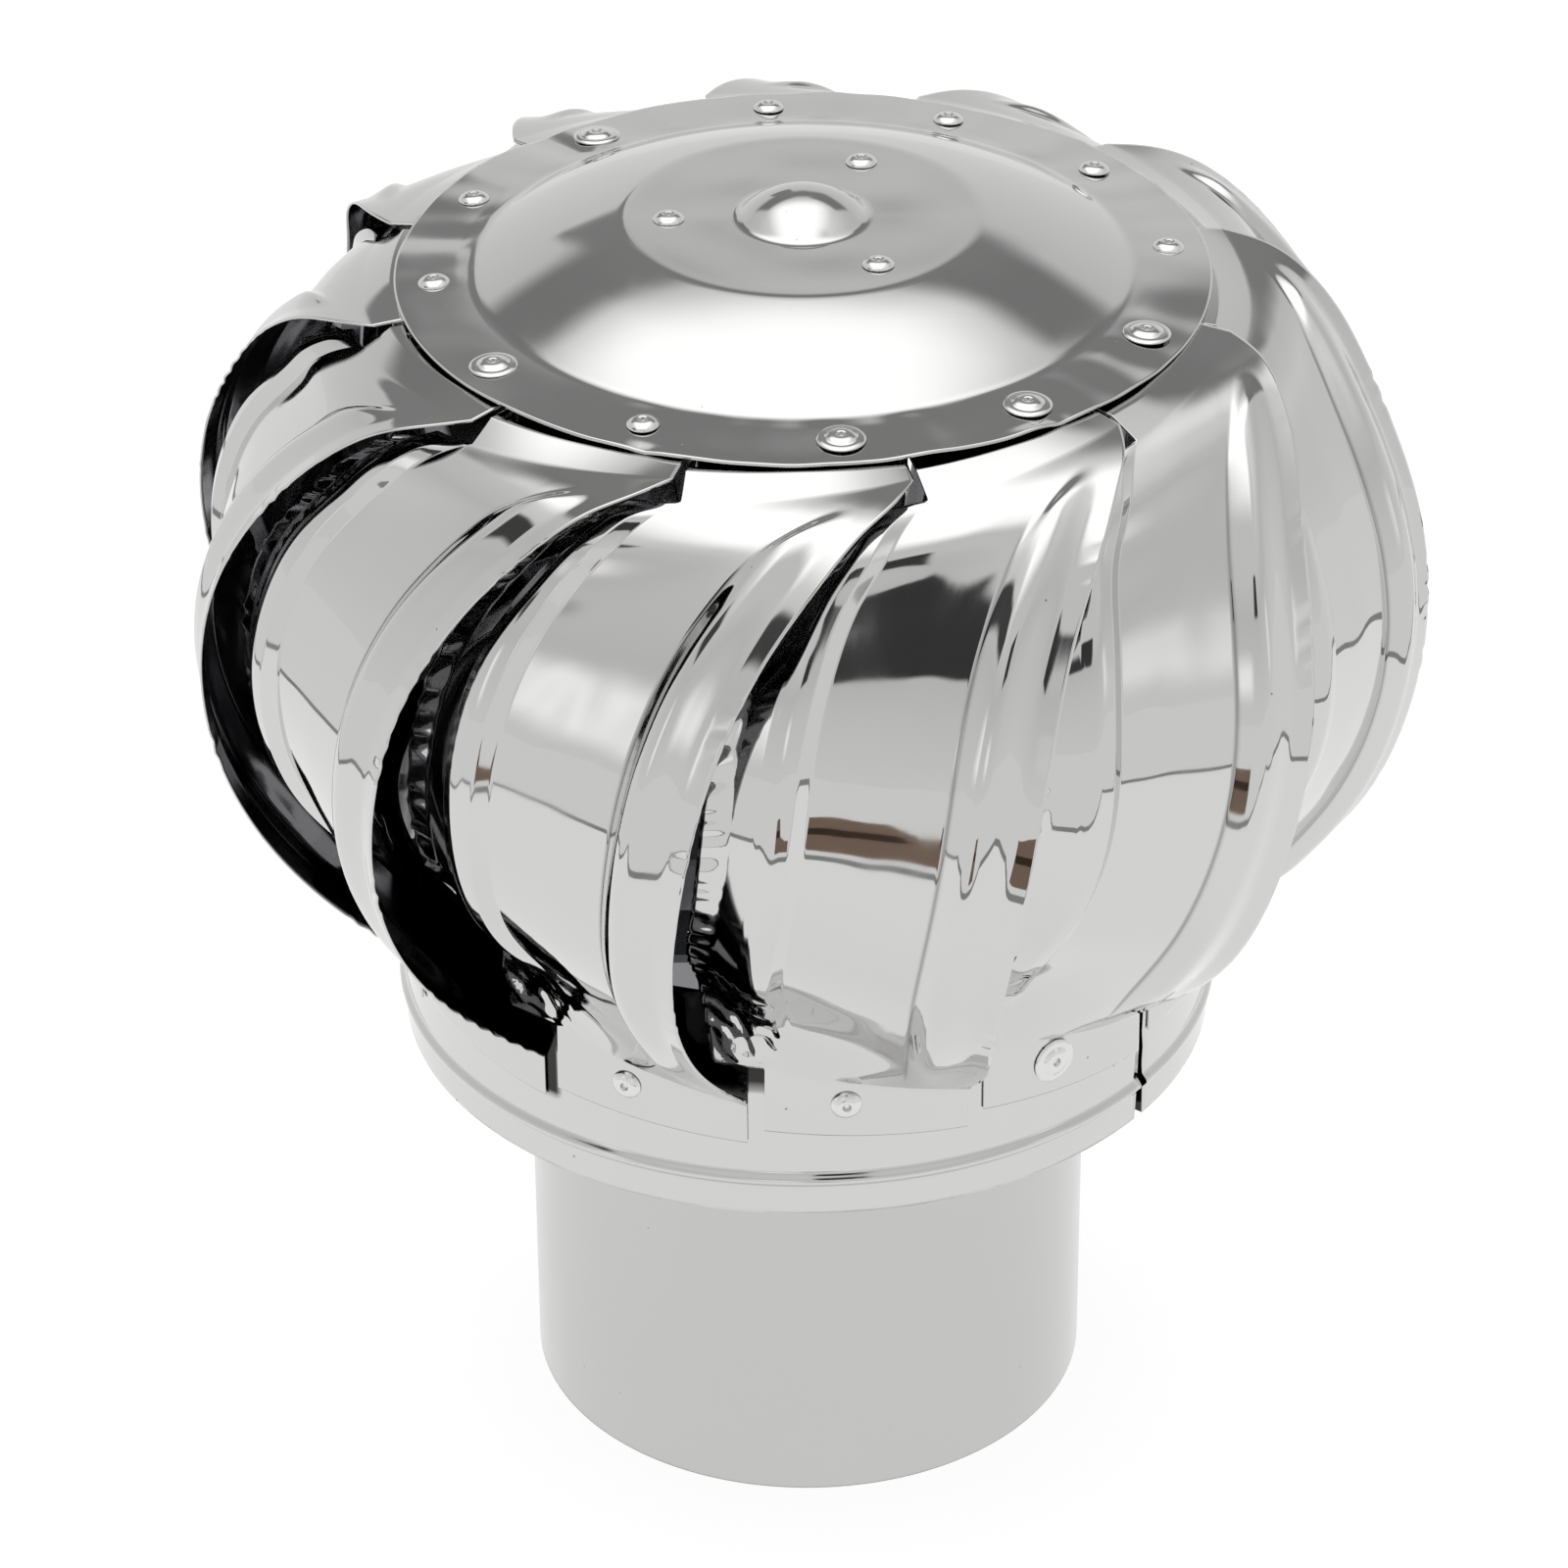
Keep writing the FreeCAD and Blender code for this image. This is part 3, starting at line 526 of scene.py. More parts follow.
def outward(bm: BMesh, up: float = 60.0) -> None:
    """Point every face of a sheet the same way, away from the spindle's axis or up.

    Args:
        bm: the sheet's outer face.
        up: how much a face that looks up counts, as millimetres from the axis.
    """
    bmesh.ops.recalc_face_normals(bm, faces=bm.faces)
    total = 0.0
    for face in bm.faces:
        centre = face.calc_center_median()
        total += face.normal.dot(Vector((centre.x, centre.y, up))) * face.calc_area()
    if total < 0:
        bmesh.ops.reverse_faces(bm, faces=bm.faces)


# Sheet parts

@dataclass
class Collar:
    """Plain pipe that stands on the flue.

    Above shade_z, behind the ring, its outer face has the inner face's dark finish as painted shade. It is
    a little out of round, by roundness_error in a number of bulges that drift round it with height. Its
    ends are drawn more closely, over end_band.
    """

    segments: int = 256
    wall: float = 0.6
    shade_z: float = 116.0
    roundness_error: float = 0.12
    bulges: int = 5
    drift: float = 0.006
    end_band: float = 1.0

    def dented(self, place: Vector) -> Vector:
        """Move a point of the wall a little out of round.

        Args:
            place: a point of the round wall.

        Returns:
            Its place on the uneven wall.
        """
        bend = self.roundness_error * ripple(azimuth_of(place), self.bulges, SEED + self.drift * place.z)
        share = 1 + bend / math.hypot(place.x, place.y)
        return Vector((place.x * share, place.y * share, place.z))

    def build(self) -> Object:
        """Spin the pipe's wall.

        Returns:
            The collar.
        """
        low, high = (Vector(corner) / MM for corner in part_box("collar"))
        radius = high.x - self.roundness_error
        start, end = low.z + self.end_band, high.z - self.end_band
        heights = spread([(low.z, start, 2), (start, end, 24), (end, high.z, 2)])
        bm = spun([(radius, z) for z in heights], self.segments)
        outward(bm)
        # Painted shade: faces above shade_z, behind the ring, take the dark inner finish
        for face in bm.faces:
            if face.calc_center_median().z > self.shade_z:
                face.material_index = 1
        shaped(bm, self.dented)
        piece = finish_mesh(bm, "collar_pipe", SATIN_COLLAR.make())
        thicken(piece, self.wall, INSIDE_PAINTED_SHADE.make())
        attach(piece, "base")
        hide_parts("collar")
        return piece


@dataclass
class TurbineRing:
    """Band rolled from one strip, with a swaged bead and its two ends apart.

    It stands lift above the origin and runs on upwards behind the blades, by hidden_rise. Its outer face
    is painted dark above shade_rise, and above slot_rise in the slot at slot_azimuth, as painted shade, so
    the hidden part is a dark sheet of painted shade seen through the slots. It is drawn closely over
    bead_share of the bead's width on each side of the bead's middle. split_edges holds heights
    over the lower edge, and how far the ends before and after the split lean there. Each end goes
    inwards by the end_folds, and then by end_turn towards the other end, up to end_gap from the split's
    middle, and is painted fully dark as painted shade. Angles are in degrees.
    """

    segments: int = 320
    wall: float = 0.6
    radius: float = 107.8
    lift: float = RING_LIFT
    height: float = 46.0
    hidden_rise: float = 20.0
    shade_rise: float = 37.5
    shade_soft: float = 0.4
    slot_rise: float = 22.5
    slot_azimuth: float = -37.2
    slot_half: float = 1.5
    bead_rise: float = 10.5
    bead_width: float = 5.2
    bead_out: float = 1.5
    bead_share: float = 0.7
    split: float = 4.0
    split_azimuth: float = 53.0
    split_reach: float = 6.0
    split_edges: tuple[tuple[float, ...], ...] = (
        (0.0, 4.0, 10.0, 16.0, 21.0, 26.0, 32.0, 35.0, 46.0), (0.2, 0.5, 0.9, 1.1, 1.3, 0.5, 1.1, 1.9, 1.9),
        (-0.2, -0.3, -0.4, -0.9, -0.6, -1.2, -0.9, -1.9, -1.9))
    end_folds: tuple[float, ...] = (0.3, 2.7)
    end_turn: float = 1.0
    end_gap: float = 0.15
    unevenness: float = 0.1
    bulges: int = 9
    edge_wave: float = 0.2
    edge_waves: int = 14
    edge_share: float = 0.12

    @property
    def half_gap(self) -> float:
        """Half of the split, in degrees."""
        return math.degrees(0.5 * self.split / self.radius)

    def _wall_radius(self, rise: float) -> float:
        """Radius of the outer face, bead included.

        Args:
            rise: height above the band's lower edge.

        Returns:
            Millimetres from the axis.
        """
        off = abs(rise - self.bead_rise) / (self.bead_width / 2)
        bulge = 0.5 * (1 + math.cos(math.pi * min(off, 1.0)))
        return self.radius + self.bead_out * bulge

    def shade(self, bm: BMesh) -> None:
        """Mark painted shade on the band where the blades' feet hide it and in the slot beside the front
        one.

        Args:
            bm: the band's outer face.
        """
        dirt_and_painted_shade = bm.verts.layers.float.new(PAINTED_SHADE_MASK)
        # Painted shade: 0 below the limit, 1 above it
        for vert in bm.verts:
            in_slot = abs(azimuth_of(vert.co) - self.slot_azimuth) < self.slot_half
            limit = self.slot_rise if in_slot else self.shade_rise
            vert[dirt_and_painted_shade] = ramp(vert.co.z - self.lift, limit - self.shade_soft, limit + self.shade_soft)

    def turn_in_ends(self, bm: BMesh) -> None:
        """Fold the strip's two ends inwards and towards each other behind the split, and paint them fully
        dark as painted shade.

        Args:
            bm: the band's outer face, with both ends free.
        """
        dirt_and_painted_shade = bm.verts.layers.float[PAINTED_SHADE_MASK]
        middle = math.radians(self.split_azimuth)
        out = Vector((math.sin(middle), -math.cos(middle), 0.0))
        along = Vector((math.cos(middle), math.sin(middle), 0.0))
        folds = [(inwards, 0.0) for inwards in self.end_folds]
        folds.append((self.end_turn, self.split / 2 - self.end_gap))
        for side in (-1, 1):
            edges = [
                edge for edge in bm.edges
                if edge.is_boundary and abs(edge.verts[0].co.z - edge.verts[1].co.z) > LEVEL
                and side * sum((vert.co for vert in edge.verts), Vector()).dot(along) > 0]
            for inwards, sideways in folds:
                grown = bmesh.ops.extrude_edge_only(bm, edges=edges)["geom"]
                edges = [item for item in grown if isinstance(item, BMEdge)]
                ends = [item for item in grown if isinstance(item, BMVert)]
                # Painted shade: the folded ends are painted fully dark
                for vert in ends:
                    vert[dirt_and_painted_shade] = 1.0
                bmesh.ops.translate(bm, vec=-inwards * out - side * sideways * along, verts=ends)
        bmesh.ops.recalc_face_normals(bm, faces=bm.faces)

    def uneven(self, place: Vector) -> Vector:
        """Move a point of the even band to where the hand-rolled one has it.

        Args:
            place: a point of the band, or of its folded ends.

        Returns:
            Its place on the uneven band.
        """
        azimuth = azimuth_of(place)
        rise = min((place.z - self.lift) / self.height, 1.0)
        share = 1 + self.unevenness * (ripple(azimuth, self.bulges, SEED + rise) - 0.5) / self.radius
        edge = self.edge_wave * ripple(azimuth, self.edge_waves, SEED + 5)
        edge *= 1 - ramp(rise, 0.0, self.edge_share)
        off = (azimuth - self.split_azimuth + 180.0) % 360.0 - 180.0
        heights, before, after = self.split_edges
        push = np.interp(place.z - self.lift, heights, after if off > 0 else before)
        push *= 1 - ramp(abs(off), self.half_gap, self.split_reach)
        turned = math.radians(azimuth) + push / self.radius
        reach = math.hypot(place.x, place.y) * share
        return Vector((reach * math.sin(turned), -reach * math.cos(turned), place.z + abs(edge)))

    def build(self) -> Object:
        """Spin the band from one end of the strip to the other.

        Returns:
            The ring.
        """
        reach = self.bead_share * self.bead_width
        low, high = self.bead_rise - reach, self.bead_rise + reach
        rises = spread([
            (0.0, low, 6), (low, high, 22), (high, self.slot_rise, 6), (self.slot_rise, self.shade_rise, 15),
            (self.shade_rise, self.height + self.hidden_rise, 10)])
        outline = [(self._wall_radius(rise), self.lift + rise) for rise in rises]
        bm = spun(outline, self.segments, self.split_azimuth + self.half_gap, 360.0 - 2 * self.half_gap)
        outward(bm)
        self.shade(bm)
        self.turn_in_ends(bm)
        shaped(bm, self.uneven)
        piece = finish_mesh(bm, "ring_band", MIRROR_RING.make())
        thicken(piece, self.wall, INSIDE_PAINTED_SHADE.make())
        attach(piece, "rotor")
        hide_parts("turbine_ring")
        return piece


@dataclass
class TopCap:
    """Pressed cap: flange, dome, plateau and bump, with soft bends between them.

    Bends are spread over bend_reach of the section. nicks holds the azimuth, the width in degrees and
    the depth of each kink of the rim. Waves and patches are numbers of swings round the cap, and a lean
    is how fast they shift with the radius. The flange's waves begin over wave_reach from its bend, only
    in patches, the nicks over nick_reach from the rim, and the dents between the radii of dent_from.
    """

    segments: int = 300
    rings: int = 150
    wall: float = CAP_WALL
    rim_r: float = RIM_R
    rim_z: float = RIM_Z
    crease_r: float = CREASE_R
    flange_rise: float = FLANGE_RISE
    plateau_r: float = 45.0
    dome_rise: float = 13.3
    crown: float = 1.4
    bump_r: float = 16.3
    bump_rise: float = 6.9
    bend_reach: float = 2.4
    rim_wave: float = 0.45
    rim_waves: int = 16
    flange_wave: float = 0.28
    flange_waves: int = 50
    wave_reach: float = 5.0
    wave_lean: float = 0.01
    wave_patch: tuple[float, float] = (-0.5, 0.3)
    nick_reach: float = 4.0
    dent: float = 0.12
    dent_from: tuple[float, float] = (8.0, 30.0)
    dent_lean: float = 0.05
    patches: int = 7
    nicks: tuple[tuple[float, float, float], ...] = ((-22.0, 1.6, -0.5), (33.0, 3.2, 0.6), (36.8, 1.6, -0.5))

    def outline(self) -> list[tuple[float, float]]:
        """Upper face from the centre to the rim.

        Returns:
            (radius, height) points.
        """
        crease_z = self.rim_z + self.flange_rise
        plateau_z = crease_z + self.dome_rise
        top = plateau_z + self.bump_rise
        ball = (self.bump_r ** 2 + self.bump_rise ** 2) / (2 * self.bump_rise)
        half = self.bump_r / 2
        half_z = top - ball + math.sqrt(ball ** 2 - half ** 2)
        middle = ((self.crease_r + self.plateau_r) / 2, crease_z + self.dome_rise / 2 + self.crown)
        points = arc((0.0, top), (half, half_z), (self.bump_r, plateau_z), 16)
        points += [(r, plateau_z) for r in spread([(self.bump_r, self.plateau_r, 16)])[1:]]
        points += arc((self.plateau_r, plateau_z), middle, (self.crease_r, crease_z), 24)[1:]
        flange = spread([(self.crease_r, self.rim_r, 14)])[1:]
        slope = self.flange_rise / (self.rim_r - self.crease_r)
        return points + [(r, crease_z - slope * (r - self.crease_r)) for r in flange]

    def softened(self, points: list[tuple[float, float]]) -> list[tuple[float, float]]:
        """Round the bends of an outline.

        Args:
            points: outline with sharp bends.

        Returns:
            Evenly spaced points on the rounded outline.
        """
        line = np.array(points)
        run = np.concatenate([[0.0], np.cumsum(np.linalg.norm(np.diff(line, axis=0), axis=1))])
        rounded = []
        for place in np.linspace(0.0, run[-1], self.rings):
            window = min(self.bend_reach / 2, place, run[-1] - place)
            near = np.linspace(place - window, place + window, 9)
            rounded.append(tuple(float(np.interp(near, run, line[:, axis]).mean()) for axis in (0, 1)))
        rounded[0] = (0.0, rounded[0][1])
        return rounded

    def pressed(self, place: Vector) -> Vector:
        """Move a point of the true cap to where the pressed one has it.

        Args:
            place: a point of the true cap.

        Returns:
            Its place on the cap with its waves, nicks and dents.
        """
        azimuth, radius = azimuth_of(place), math.hypot(place.x, place.y)
        on_flange = ramp(radius, self.crease_r + 1, self.rim_r)
        drop = self.rim_wave * on_flange * (ripple(azimuth, self.rim_waves, SEED + 2) - 0.4)
        ridge = ramp(radius, self.crease_r, self.crease_r + self.wave_reach)
        ridge *= ramp(ripple(azimuth, self.patches, SEED + 9), *self.wave_patch)
        shift = SEED + 4 + self.wave_lean * radius
        drop += self.flange_wave * ridge * ripple(azimuth, self.flange_waves, shift)
        for where, width, depth in self.nicks:
            off = (azimuth - where) / width
            drop += depth * math.exp(-off * off) * ramp(radius, self.rim_r - self.nick_reach, self.rim_r)
        dent = self.dent * ripple(azimuth, self.patches, SEED + self.dent_lean * radius)
        dent *= ramp(radius, *self.dent_from)
        return Vector((place.x, place.y, place.z + drop + dent * (1 - on_flange)))

    def build(self) -> Object:
        """Spin the cap and let its flange run a little out of flat.

        Returns:
            The cap.
        """
        bm = spun(self.softened(self.outline()), self.segments)
        outward(bm)
        shaped(bm, self.pressed)
        piece = finish_mesh(bm, "cap_sheet", MIRROR_CAP.make())
        thicken(piece, self.wall)
        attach(piece, "rotor")
        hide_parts("top_cap")
        return piece


@dataclass
class Blades:
    """Twelve pressed strips with a bead, a rib, a crimped lip and a tab at each end.

    Places across a strip are millimetres from its fold. Places along it are shares of its length from
    the cap, and a run says where a form rises and, counted from the ring, where it falls. The edges hold
    azimuth, share of the way from the ring's radius to the head's, and share of the height from the
    right edge's foot to the rim. A drift holds how far a pattern's phase wanders, in radians, and over
    how many millimetres. Swings hold depth, millimetres across, millimetres along and a shift. rails are
    the places where the pressed forms change, rounded off by bend_reach at the bend_places. tab_bends
    holds the radius and height of each bend of the top tab, on its left and on its right.
    """

    count: int = 12
    sheet: float = 0.5
    ring_lift: float = RING_LIFT
    rim_z: float = RIM_Z
    tab_r: float = 108.6
    head_r: float = 160.8
    width: float = 67.3
    join_right: float = 33.5
    join_left: float = 45.0
    foot_right: float = 22.0
    foot_left: float = 26.0
    foot_right_az: float = -8.0
    foot_left_az: float = -35.8
    left_edge: tuple[tuple[float, float, float], ...] = (
        (-21.2, 0.092, 0.957), (-24.4, 0.187, 0.937), (-27.3, 0.326, 0.902), (-29.6, 0.41, 0.864),
        (-32.2, 0.6, 0.795), (-33.9, 0.77, 0.69), (-34.7, 0.836, 0.578), (-35.5, 0.79, 0.47),
        (-36.7, 0.63, 0.362), (-37.7, 0.335, 0.252), (-37.0, 0.085, 0.16))
    right_edge: tuple[tuple[float, float, float], ...] = (
        (13.6, 0.023, 0.986), (10.0, 0.197, 0.98), (6.5, 0.328, 0.967), (2.0, 0.498, 0.925),
        (-3.4, 0.69, 0.838), (-8.2, 0.92, 0.69), (-10.3, 1.0, 0.55), (-11.7, 0.95, 0.397),
        (-12.0, 0.79, 0.26), (-10.7, 0.525, 0.142), (-9.0, 0.27, 0.067))
    round_run: tuple[float, ...] = (0.0, 0.25, 0.0, 0.25)
    lip: float = 6.5
    lip_drop: float = 3.3
    lip_flare: float = 0.3
    lip_end: tuple[float, float] = (0.02, 0.2)
    crimp_pitch: float = 9.0
    crimp_depth: float = 0.65
    crimp_drift: tuple[float, float] = (8.0, 16.0)
    crimp_share: tuple[float, float, float] = (0.75, 1.1, 13.0)
    crimp_start: tuple[float, float] = (0.9, 1.7)
    crimp_end: tuple[float, float] = (0.02, 0.1)
    bead_height: float = 4.1
    bead_middle: float = 55.5
    bead_half: float = 9.0
    bead_start: float = 0.042
    bead_lag: float = 0.045
    bead_quick: tuple[float, float] = (0.42, 0.05)
    bead_slow: tuple[float, float] = (0.58, 0.3)
    bead_end: tuple[float, float] = (0.0, 0.16)
    bead_shoulder: float = 0.96
    rib_height: float = 1.9
    rib_shoulder: float = 0.85
    rib_run: tuple[float, ...] = (0.0, 0.06, 0.08, 0.25)
    hollow: float = 1.2
    hollow_middle: float = 0.8
    hollow_edge: float = 0.3
    hollow_run: tuple[float, ...] = (0.02, 0.15, 0.02, 0.2)
    rails: tuple[float, ...] = (0.0, 4.0, 8.5, 12.0, 30.0, 45.0, 50.4, 53.4, 60.8, 67.3)
    bend_places: tuple[float, ...] = (
        0.0, 2.0, 6.0, 7.5, 14.0, 38.0, 43.5, 46.0, 49.0, 53.0, 58.0, 62.0, 67.0)
    bend_reach: tuple[float, ...] = (0.3, 1.3, 1.3, 0.3, 0.3, 2.0, 0.5, 0.5, 1.8, 2.0, 2.4, 1.2, 0.2)
    ripple_pitch: float = 5.6
    ripple_depth: float = 0.32
    ripple_drift: tuple[float, float] = (4.0, 22.0)
    ripple_from: float = 61.5
    ripple_start: tuple[float, float] = (0.1, 0.25)
    ripple_patch: tuple[float, float] = (16.0, 0.35)
    press_swings: tuple[tuple[float, ...], ...] = ((0.3, 26.0, 40.0, 0.0), (0.07, 9.0, 14.0, 5.0))
    press_from: tuple[float, float] = (0.0, 10.0)
    press_to: tuple[float, float] = (58.0, 67.0)
    press_run: tuple[float, ...] = (0.0, 0.1, 0.0, 0.08)
    crush_run: tuple[float, ...] = (0.86, 0.95, 0.0, 0.02)
    crush_size: tuple[float, float] = (4.0, 5.0)
    crush_to: tuple[float, float] = (3.0, 13.0)
    lip_crush: float = 1.6
    face_crush: float = 1.3
    tab_from: float = 12.0
    tab_left_az: float = -15.4
    tab_right_az: float = 13.8
    tab_bends: tuple[tuple[float, ...], ...] = (
        (84.5, 328.38, 84.5, 328.38), (96.0, 327.7, 96.0, 327.7), (99.0, 326.0, 99.0, 326.9),
        (105.5, 325.6, 101.5, 326.6))
    tab_shares: tuple[float, ...] = (0.0, 0.07, 0.5, 0.93)
    foot_shares: tuple[float, ...] = (0.06, 0.2, 0.4, 0.6, 0.8, 0.97, 1.0)
    columns: list[float] = field(default_factory=lambda: spread([
        (-13.0, -6.5, 6), (-6.5, -0.6, 6), (-0.6, 0.6, 3), (0.6, 7.9, 8), (7.9, 9.1, 4), (9.1, 11.4, 3),
        (11.4, 12.0, 2), (12.0, 12.6, 2), (12.6, 43.8, 13), (43.8, 46.4, 9), (46.4, 49.8, 4),
        (49.8, 54.4, 8), (54.4, 60.0, 5), (60.0, 67.3, 8)]))
    stations: list[float] = field(default_factory=lambda: spread([
        (0.0, 0.15, 22), (0.15, 0.85, 84), (0.85, 1.0, 36)]))
    near: float = 0.004
    seed_step: float = 3.7
    # Painted shade: a dark line along the foot of the bead, crease millimetres from the fold
    crease: float = 45.2
    crease_width: float = 0.5
    crease_share: float = 0.5
    crease_run: tuple[float, ...] = (0.09, 0.16, 0.03, 0.12)

    def head_point(self, azimuth: float, reach: float, rise: float) -> np.ndarray:
        """Point of a blade's edge.

        Args:
            azimuth: degrees from the blade's own zero.
            reach: 0 at the ring's radius, 1 at the head's widest.
            rise: 0 where the right edge meets the ring, 1 at the cap's rim.

        Returns:
            The point.
        """
        foot = self.ring_lift + self.join_right
        radius = self.tab_r + reach * (self.head_r - self.tab_r)
        return polar(azimuth, radius, foot + rise * (self.rim_z - foot))

    def edges(self) -> tuple[Curve, Curve]:
        """The two long edges of a blade's face.

        Returns:
            The fold on the left and the free edge on the right, from the cap to the ring.
        """
        join = (self.join_left - self.join_right) / (self.rim_z - self.ring_lift - self.join_right)
        left = (*self.left_edge, (self.foot_left_az, 0.0, join))
        right = (*self.right_edge, (self.foot_right_az, 0.0, 0.0))
        return tuple(Curve([self.head_point(*point) for point in points]) for points in (left, right))

    def lip_height(self, distance: float, station: float, place: float, seed: float) -> float:
        """Height of the turned-in, crimped lip over the strip's chord.

        Args:
            distance: millimetres from the fold, below 0.
            station: share of the blade's length from its top.
            place: the same in millimetres.
            seed: sets one blade's unevenness apart from another's.

        Returns:
            Millimetres, outwards positive.
        """
        off = -distance / self.lip
        turn = self.lip_drop * ramp(1 - station, *self.lip_end)
        drop = -turn * (off if off < 1 else 1 + self.lip_flare * (off - 1))
        (wander, over), (least, more, change) = self.crimp_drift, self.crimp_share
        swing = wander * rough(place / over, seed, 1.0)
        crimp = self.crimp_depth * math.sin(math.tau * place / self.crimp_pitch + swing)
        crimp *= least + more * rough(place / change, seed, 3.0)
        return drop + crimp * ramp(off, *self.crimp_start) * ramp(1 - station, *self.crimp_end)

    def form_height(self, distance: float, station: float) -> float:
        """Height of the rib, the hollow panel and the bead, with soft bends between them.

        Args:
            distance: millimetres from the fold.
            station: share of the blade's length from its top.

        Returns:
            Millimetres, outwards positive.
        """
        start = self.bead_start + self.bead_lag * ((distance - self.bead_middle) / self.bead_half) ** 2
        (quick, run), (slow, end) = self.bead_quick, self.bead_slow
        bead = quick * ramp(station, start, start + run) + slow * ramp(station, start, end)
        bead *= self.bead_height * ramp(1 - station, *self.bead_end)
        rib = self.rib_height * swell(station, self.rib_run)
        hollow = -self.hollow * swell(station, self.hollow_run)
        heights = (0.0, rib, self.rib_shoulder * rib, hollow, self.hollow_middle * hollow, hollow,
                   hollow + self.bead_shoulder * bead, hollow + bead, self.hollow_edge * hollow, 0.0)
        soft = np.interp(distance, self.bend_places, self.bend_reach)
        around = np.interp((distance - soft, distance, distance + soft), self.rails, heights)
        return float(around[0] + 2 * around[1] + around[2]) / 4

    def press_height(self, distance: float, station: float, place: float, seed: float) -> float:
        """Height of the free edge's ripple and of the unevenness that the press leaves.

        Args:
            distance: millimetres from the fold.
            station: share of the blade's length from its top.
            place: the same in millimetres.
            seed: sets one blade's unevenness apart from another's.

        Returns:
            Millimetres, outwards positive.
        """
        (wander, over), (patch_size, patch_edge) = self.ripple_drift, self.ripple_patch
        swing = wander * rough(place / over, seed, 7.0)
        wrinkle = self.ripple_depth * math.sin(math.tau * place / self.ripple_pitch + swing)
        wrinkle *= ramp(distance, self.ripple_from, self.width) * ramp(station, *self.ripple_start)
        wrinkle *= ramp(rough(place / patch_size, seed, 9.0), 0.0, patch_edge)
        uneven = sum(
            depth * rough(distance / wide, place / tall, seed + shift)
            for depth, wide, tall, shift in self.press_swings)
        uneven *= ramp(distance, *self.press_from) * (1 - ramp(distance, *self.press_to))
        uneven *= swell(station, self.press_run)
        return wrinkle + uneven

    def height(self, distance: float, station: float, length: float, seed: float) -> float:
        """Height of all pressed and crushed forms over the strip's chord.

        Args:
            distance: millimetres from the fold.
            station: share of the blade's length from its top.
            length: the blade's length.
            seed: sets one blade's unevenness apart from another's.

        Returns:
            Millimetres, outwards positive.
        """
        place = station * length
        wide, tall = self.crush_size
        crush = rough(distance / wide, place / tall, seed) * swell(station, self.crush_run)
        if distance < 0:
            return self.lip_height(distance, station, place, seed) + self.lip_crush * crush
        crush *= self.face_crush * (1 - ramp(distance, *self.crush_to))
        pressed = self.press_height(distance, station, place, seed)
        return self.form_height(distance, station) + pressed + crush

    def section(
        self, left: np.ndarray, right: np.ndarray, forward: np.ndarray, station: float, length: float,
        seed: float
    ) -> list[np.ndarray]:
        """Points across the outer face at one station.

        Args:
            left: point of the fold.
            right: point of the free edge.
            forward: direction along the blade.
            station: share of the blade's length.
            length: the blade's length.
            seed: the blade's own unevenness.

        Returns:
            One point for each column.
        """
        across = (right - left) / np.linalg.norm(right - left)
        out = np.cross(forward, across)
        out /= np.linalg.norm(out)
        roundness = 1 - swell(station, self.round_run)
        row = []
        for distance in self.columns:
            chord = left + across * distance
            if distance >= 0:
                chord = self.between(left, right, distance / self.width, roundness)
            row.append(chord + out * self.height(distance, station, length, seed))
        return row

    @staticmethod
    def between(left: np.ndarray, right: np.ndarray, share: float, roundness: float) -> np.ndarray:
        """Point between the two edges, straight across or following the head's circle.

        Args:
            left: point of the fold.
            right: point of the free edge.
            share: 0 at the left and 1 at the right.
            roundness: 0 for straight across and 1 for the circle.

        Returns:
            The point.
        """
        straight = left + (right - left) * share
        ends = [(azimuth_of(end), math.hypot(end[0], end[1]), end[2]) for end in (left, right)]
        circle = polar(*[a + (b - a) * share for a, b in zip(*ends)])
        return straight + (circle - straight) * roundness

    def face_rows(self, seed: float) -> list[list[np.ndarray]]:
        """Rows across the curved face, from the cap to the ring.

        Args:
            seed: the blade's own unevenness.

        Returns:
            One row for each station.
        """
        left, right = self.edges()
        length = (left.length + right.length) / 2
        rows = []
        for station in self.stations:
            before, after = max(station - self.near, 0.0), min(station + self.near, 1.0)
            forward = left.at(after) + right.at(after) - left.at(before) - right.at(before)
            rows.append(self.section(left.at(station), right.at(station), forward, station, length, seed))
        return rows

    def tab_row(self, left: Sequence[float], right: Sequence[float], start: float = 0.0) -> list[np.ndarray]:
        """Row across a tab.

        Args:
            left: azimuth, radius and height of the left end.
            right: the same of the right end.
            start: how far from the fold the tab's left side is.

        Returns:
            One point for each column. Columns left of the tab fall on its left side.
        """
        shares = [max(distance - start, 0.0) / (self.width - start) for distance in self.columns]
        return [polar(*[a + (b - a) * share for a, b in zip(left, right)]) for share in shares]

    def top_rows(self, face_top: list[np.ndarray]) -> list[list[np.ndarray]]:
        """Rows of the tab under the cap: flat at the rivet, lower at the rim, then bent down.

        Args:
            face_top: the face's first row.

        Returns:
            The rows, from the tab's inner end outwards.
        """
        keys = [
            self.tab_row((self.tab_left_az, *bend[:2]), (self.tab_right_az, *bend[2:]), self.tab_from)
            for bend in self.tab_bends]
        rows = []
        for near, far in zip(keys, keys[1:] + [face_top]):
            rows += [[a + (b - a) * share for a, b in zip(near, far)] for share in self.tab_shares]
        return rows

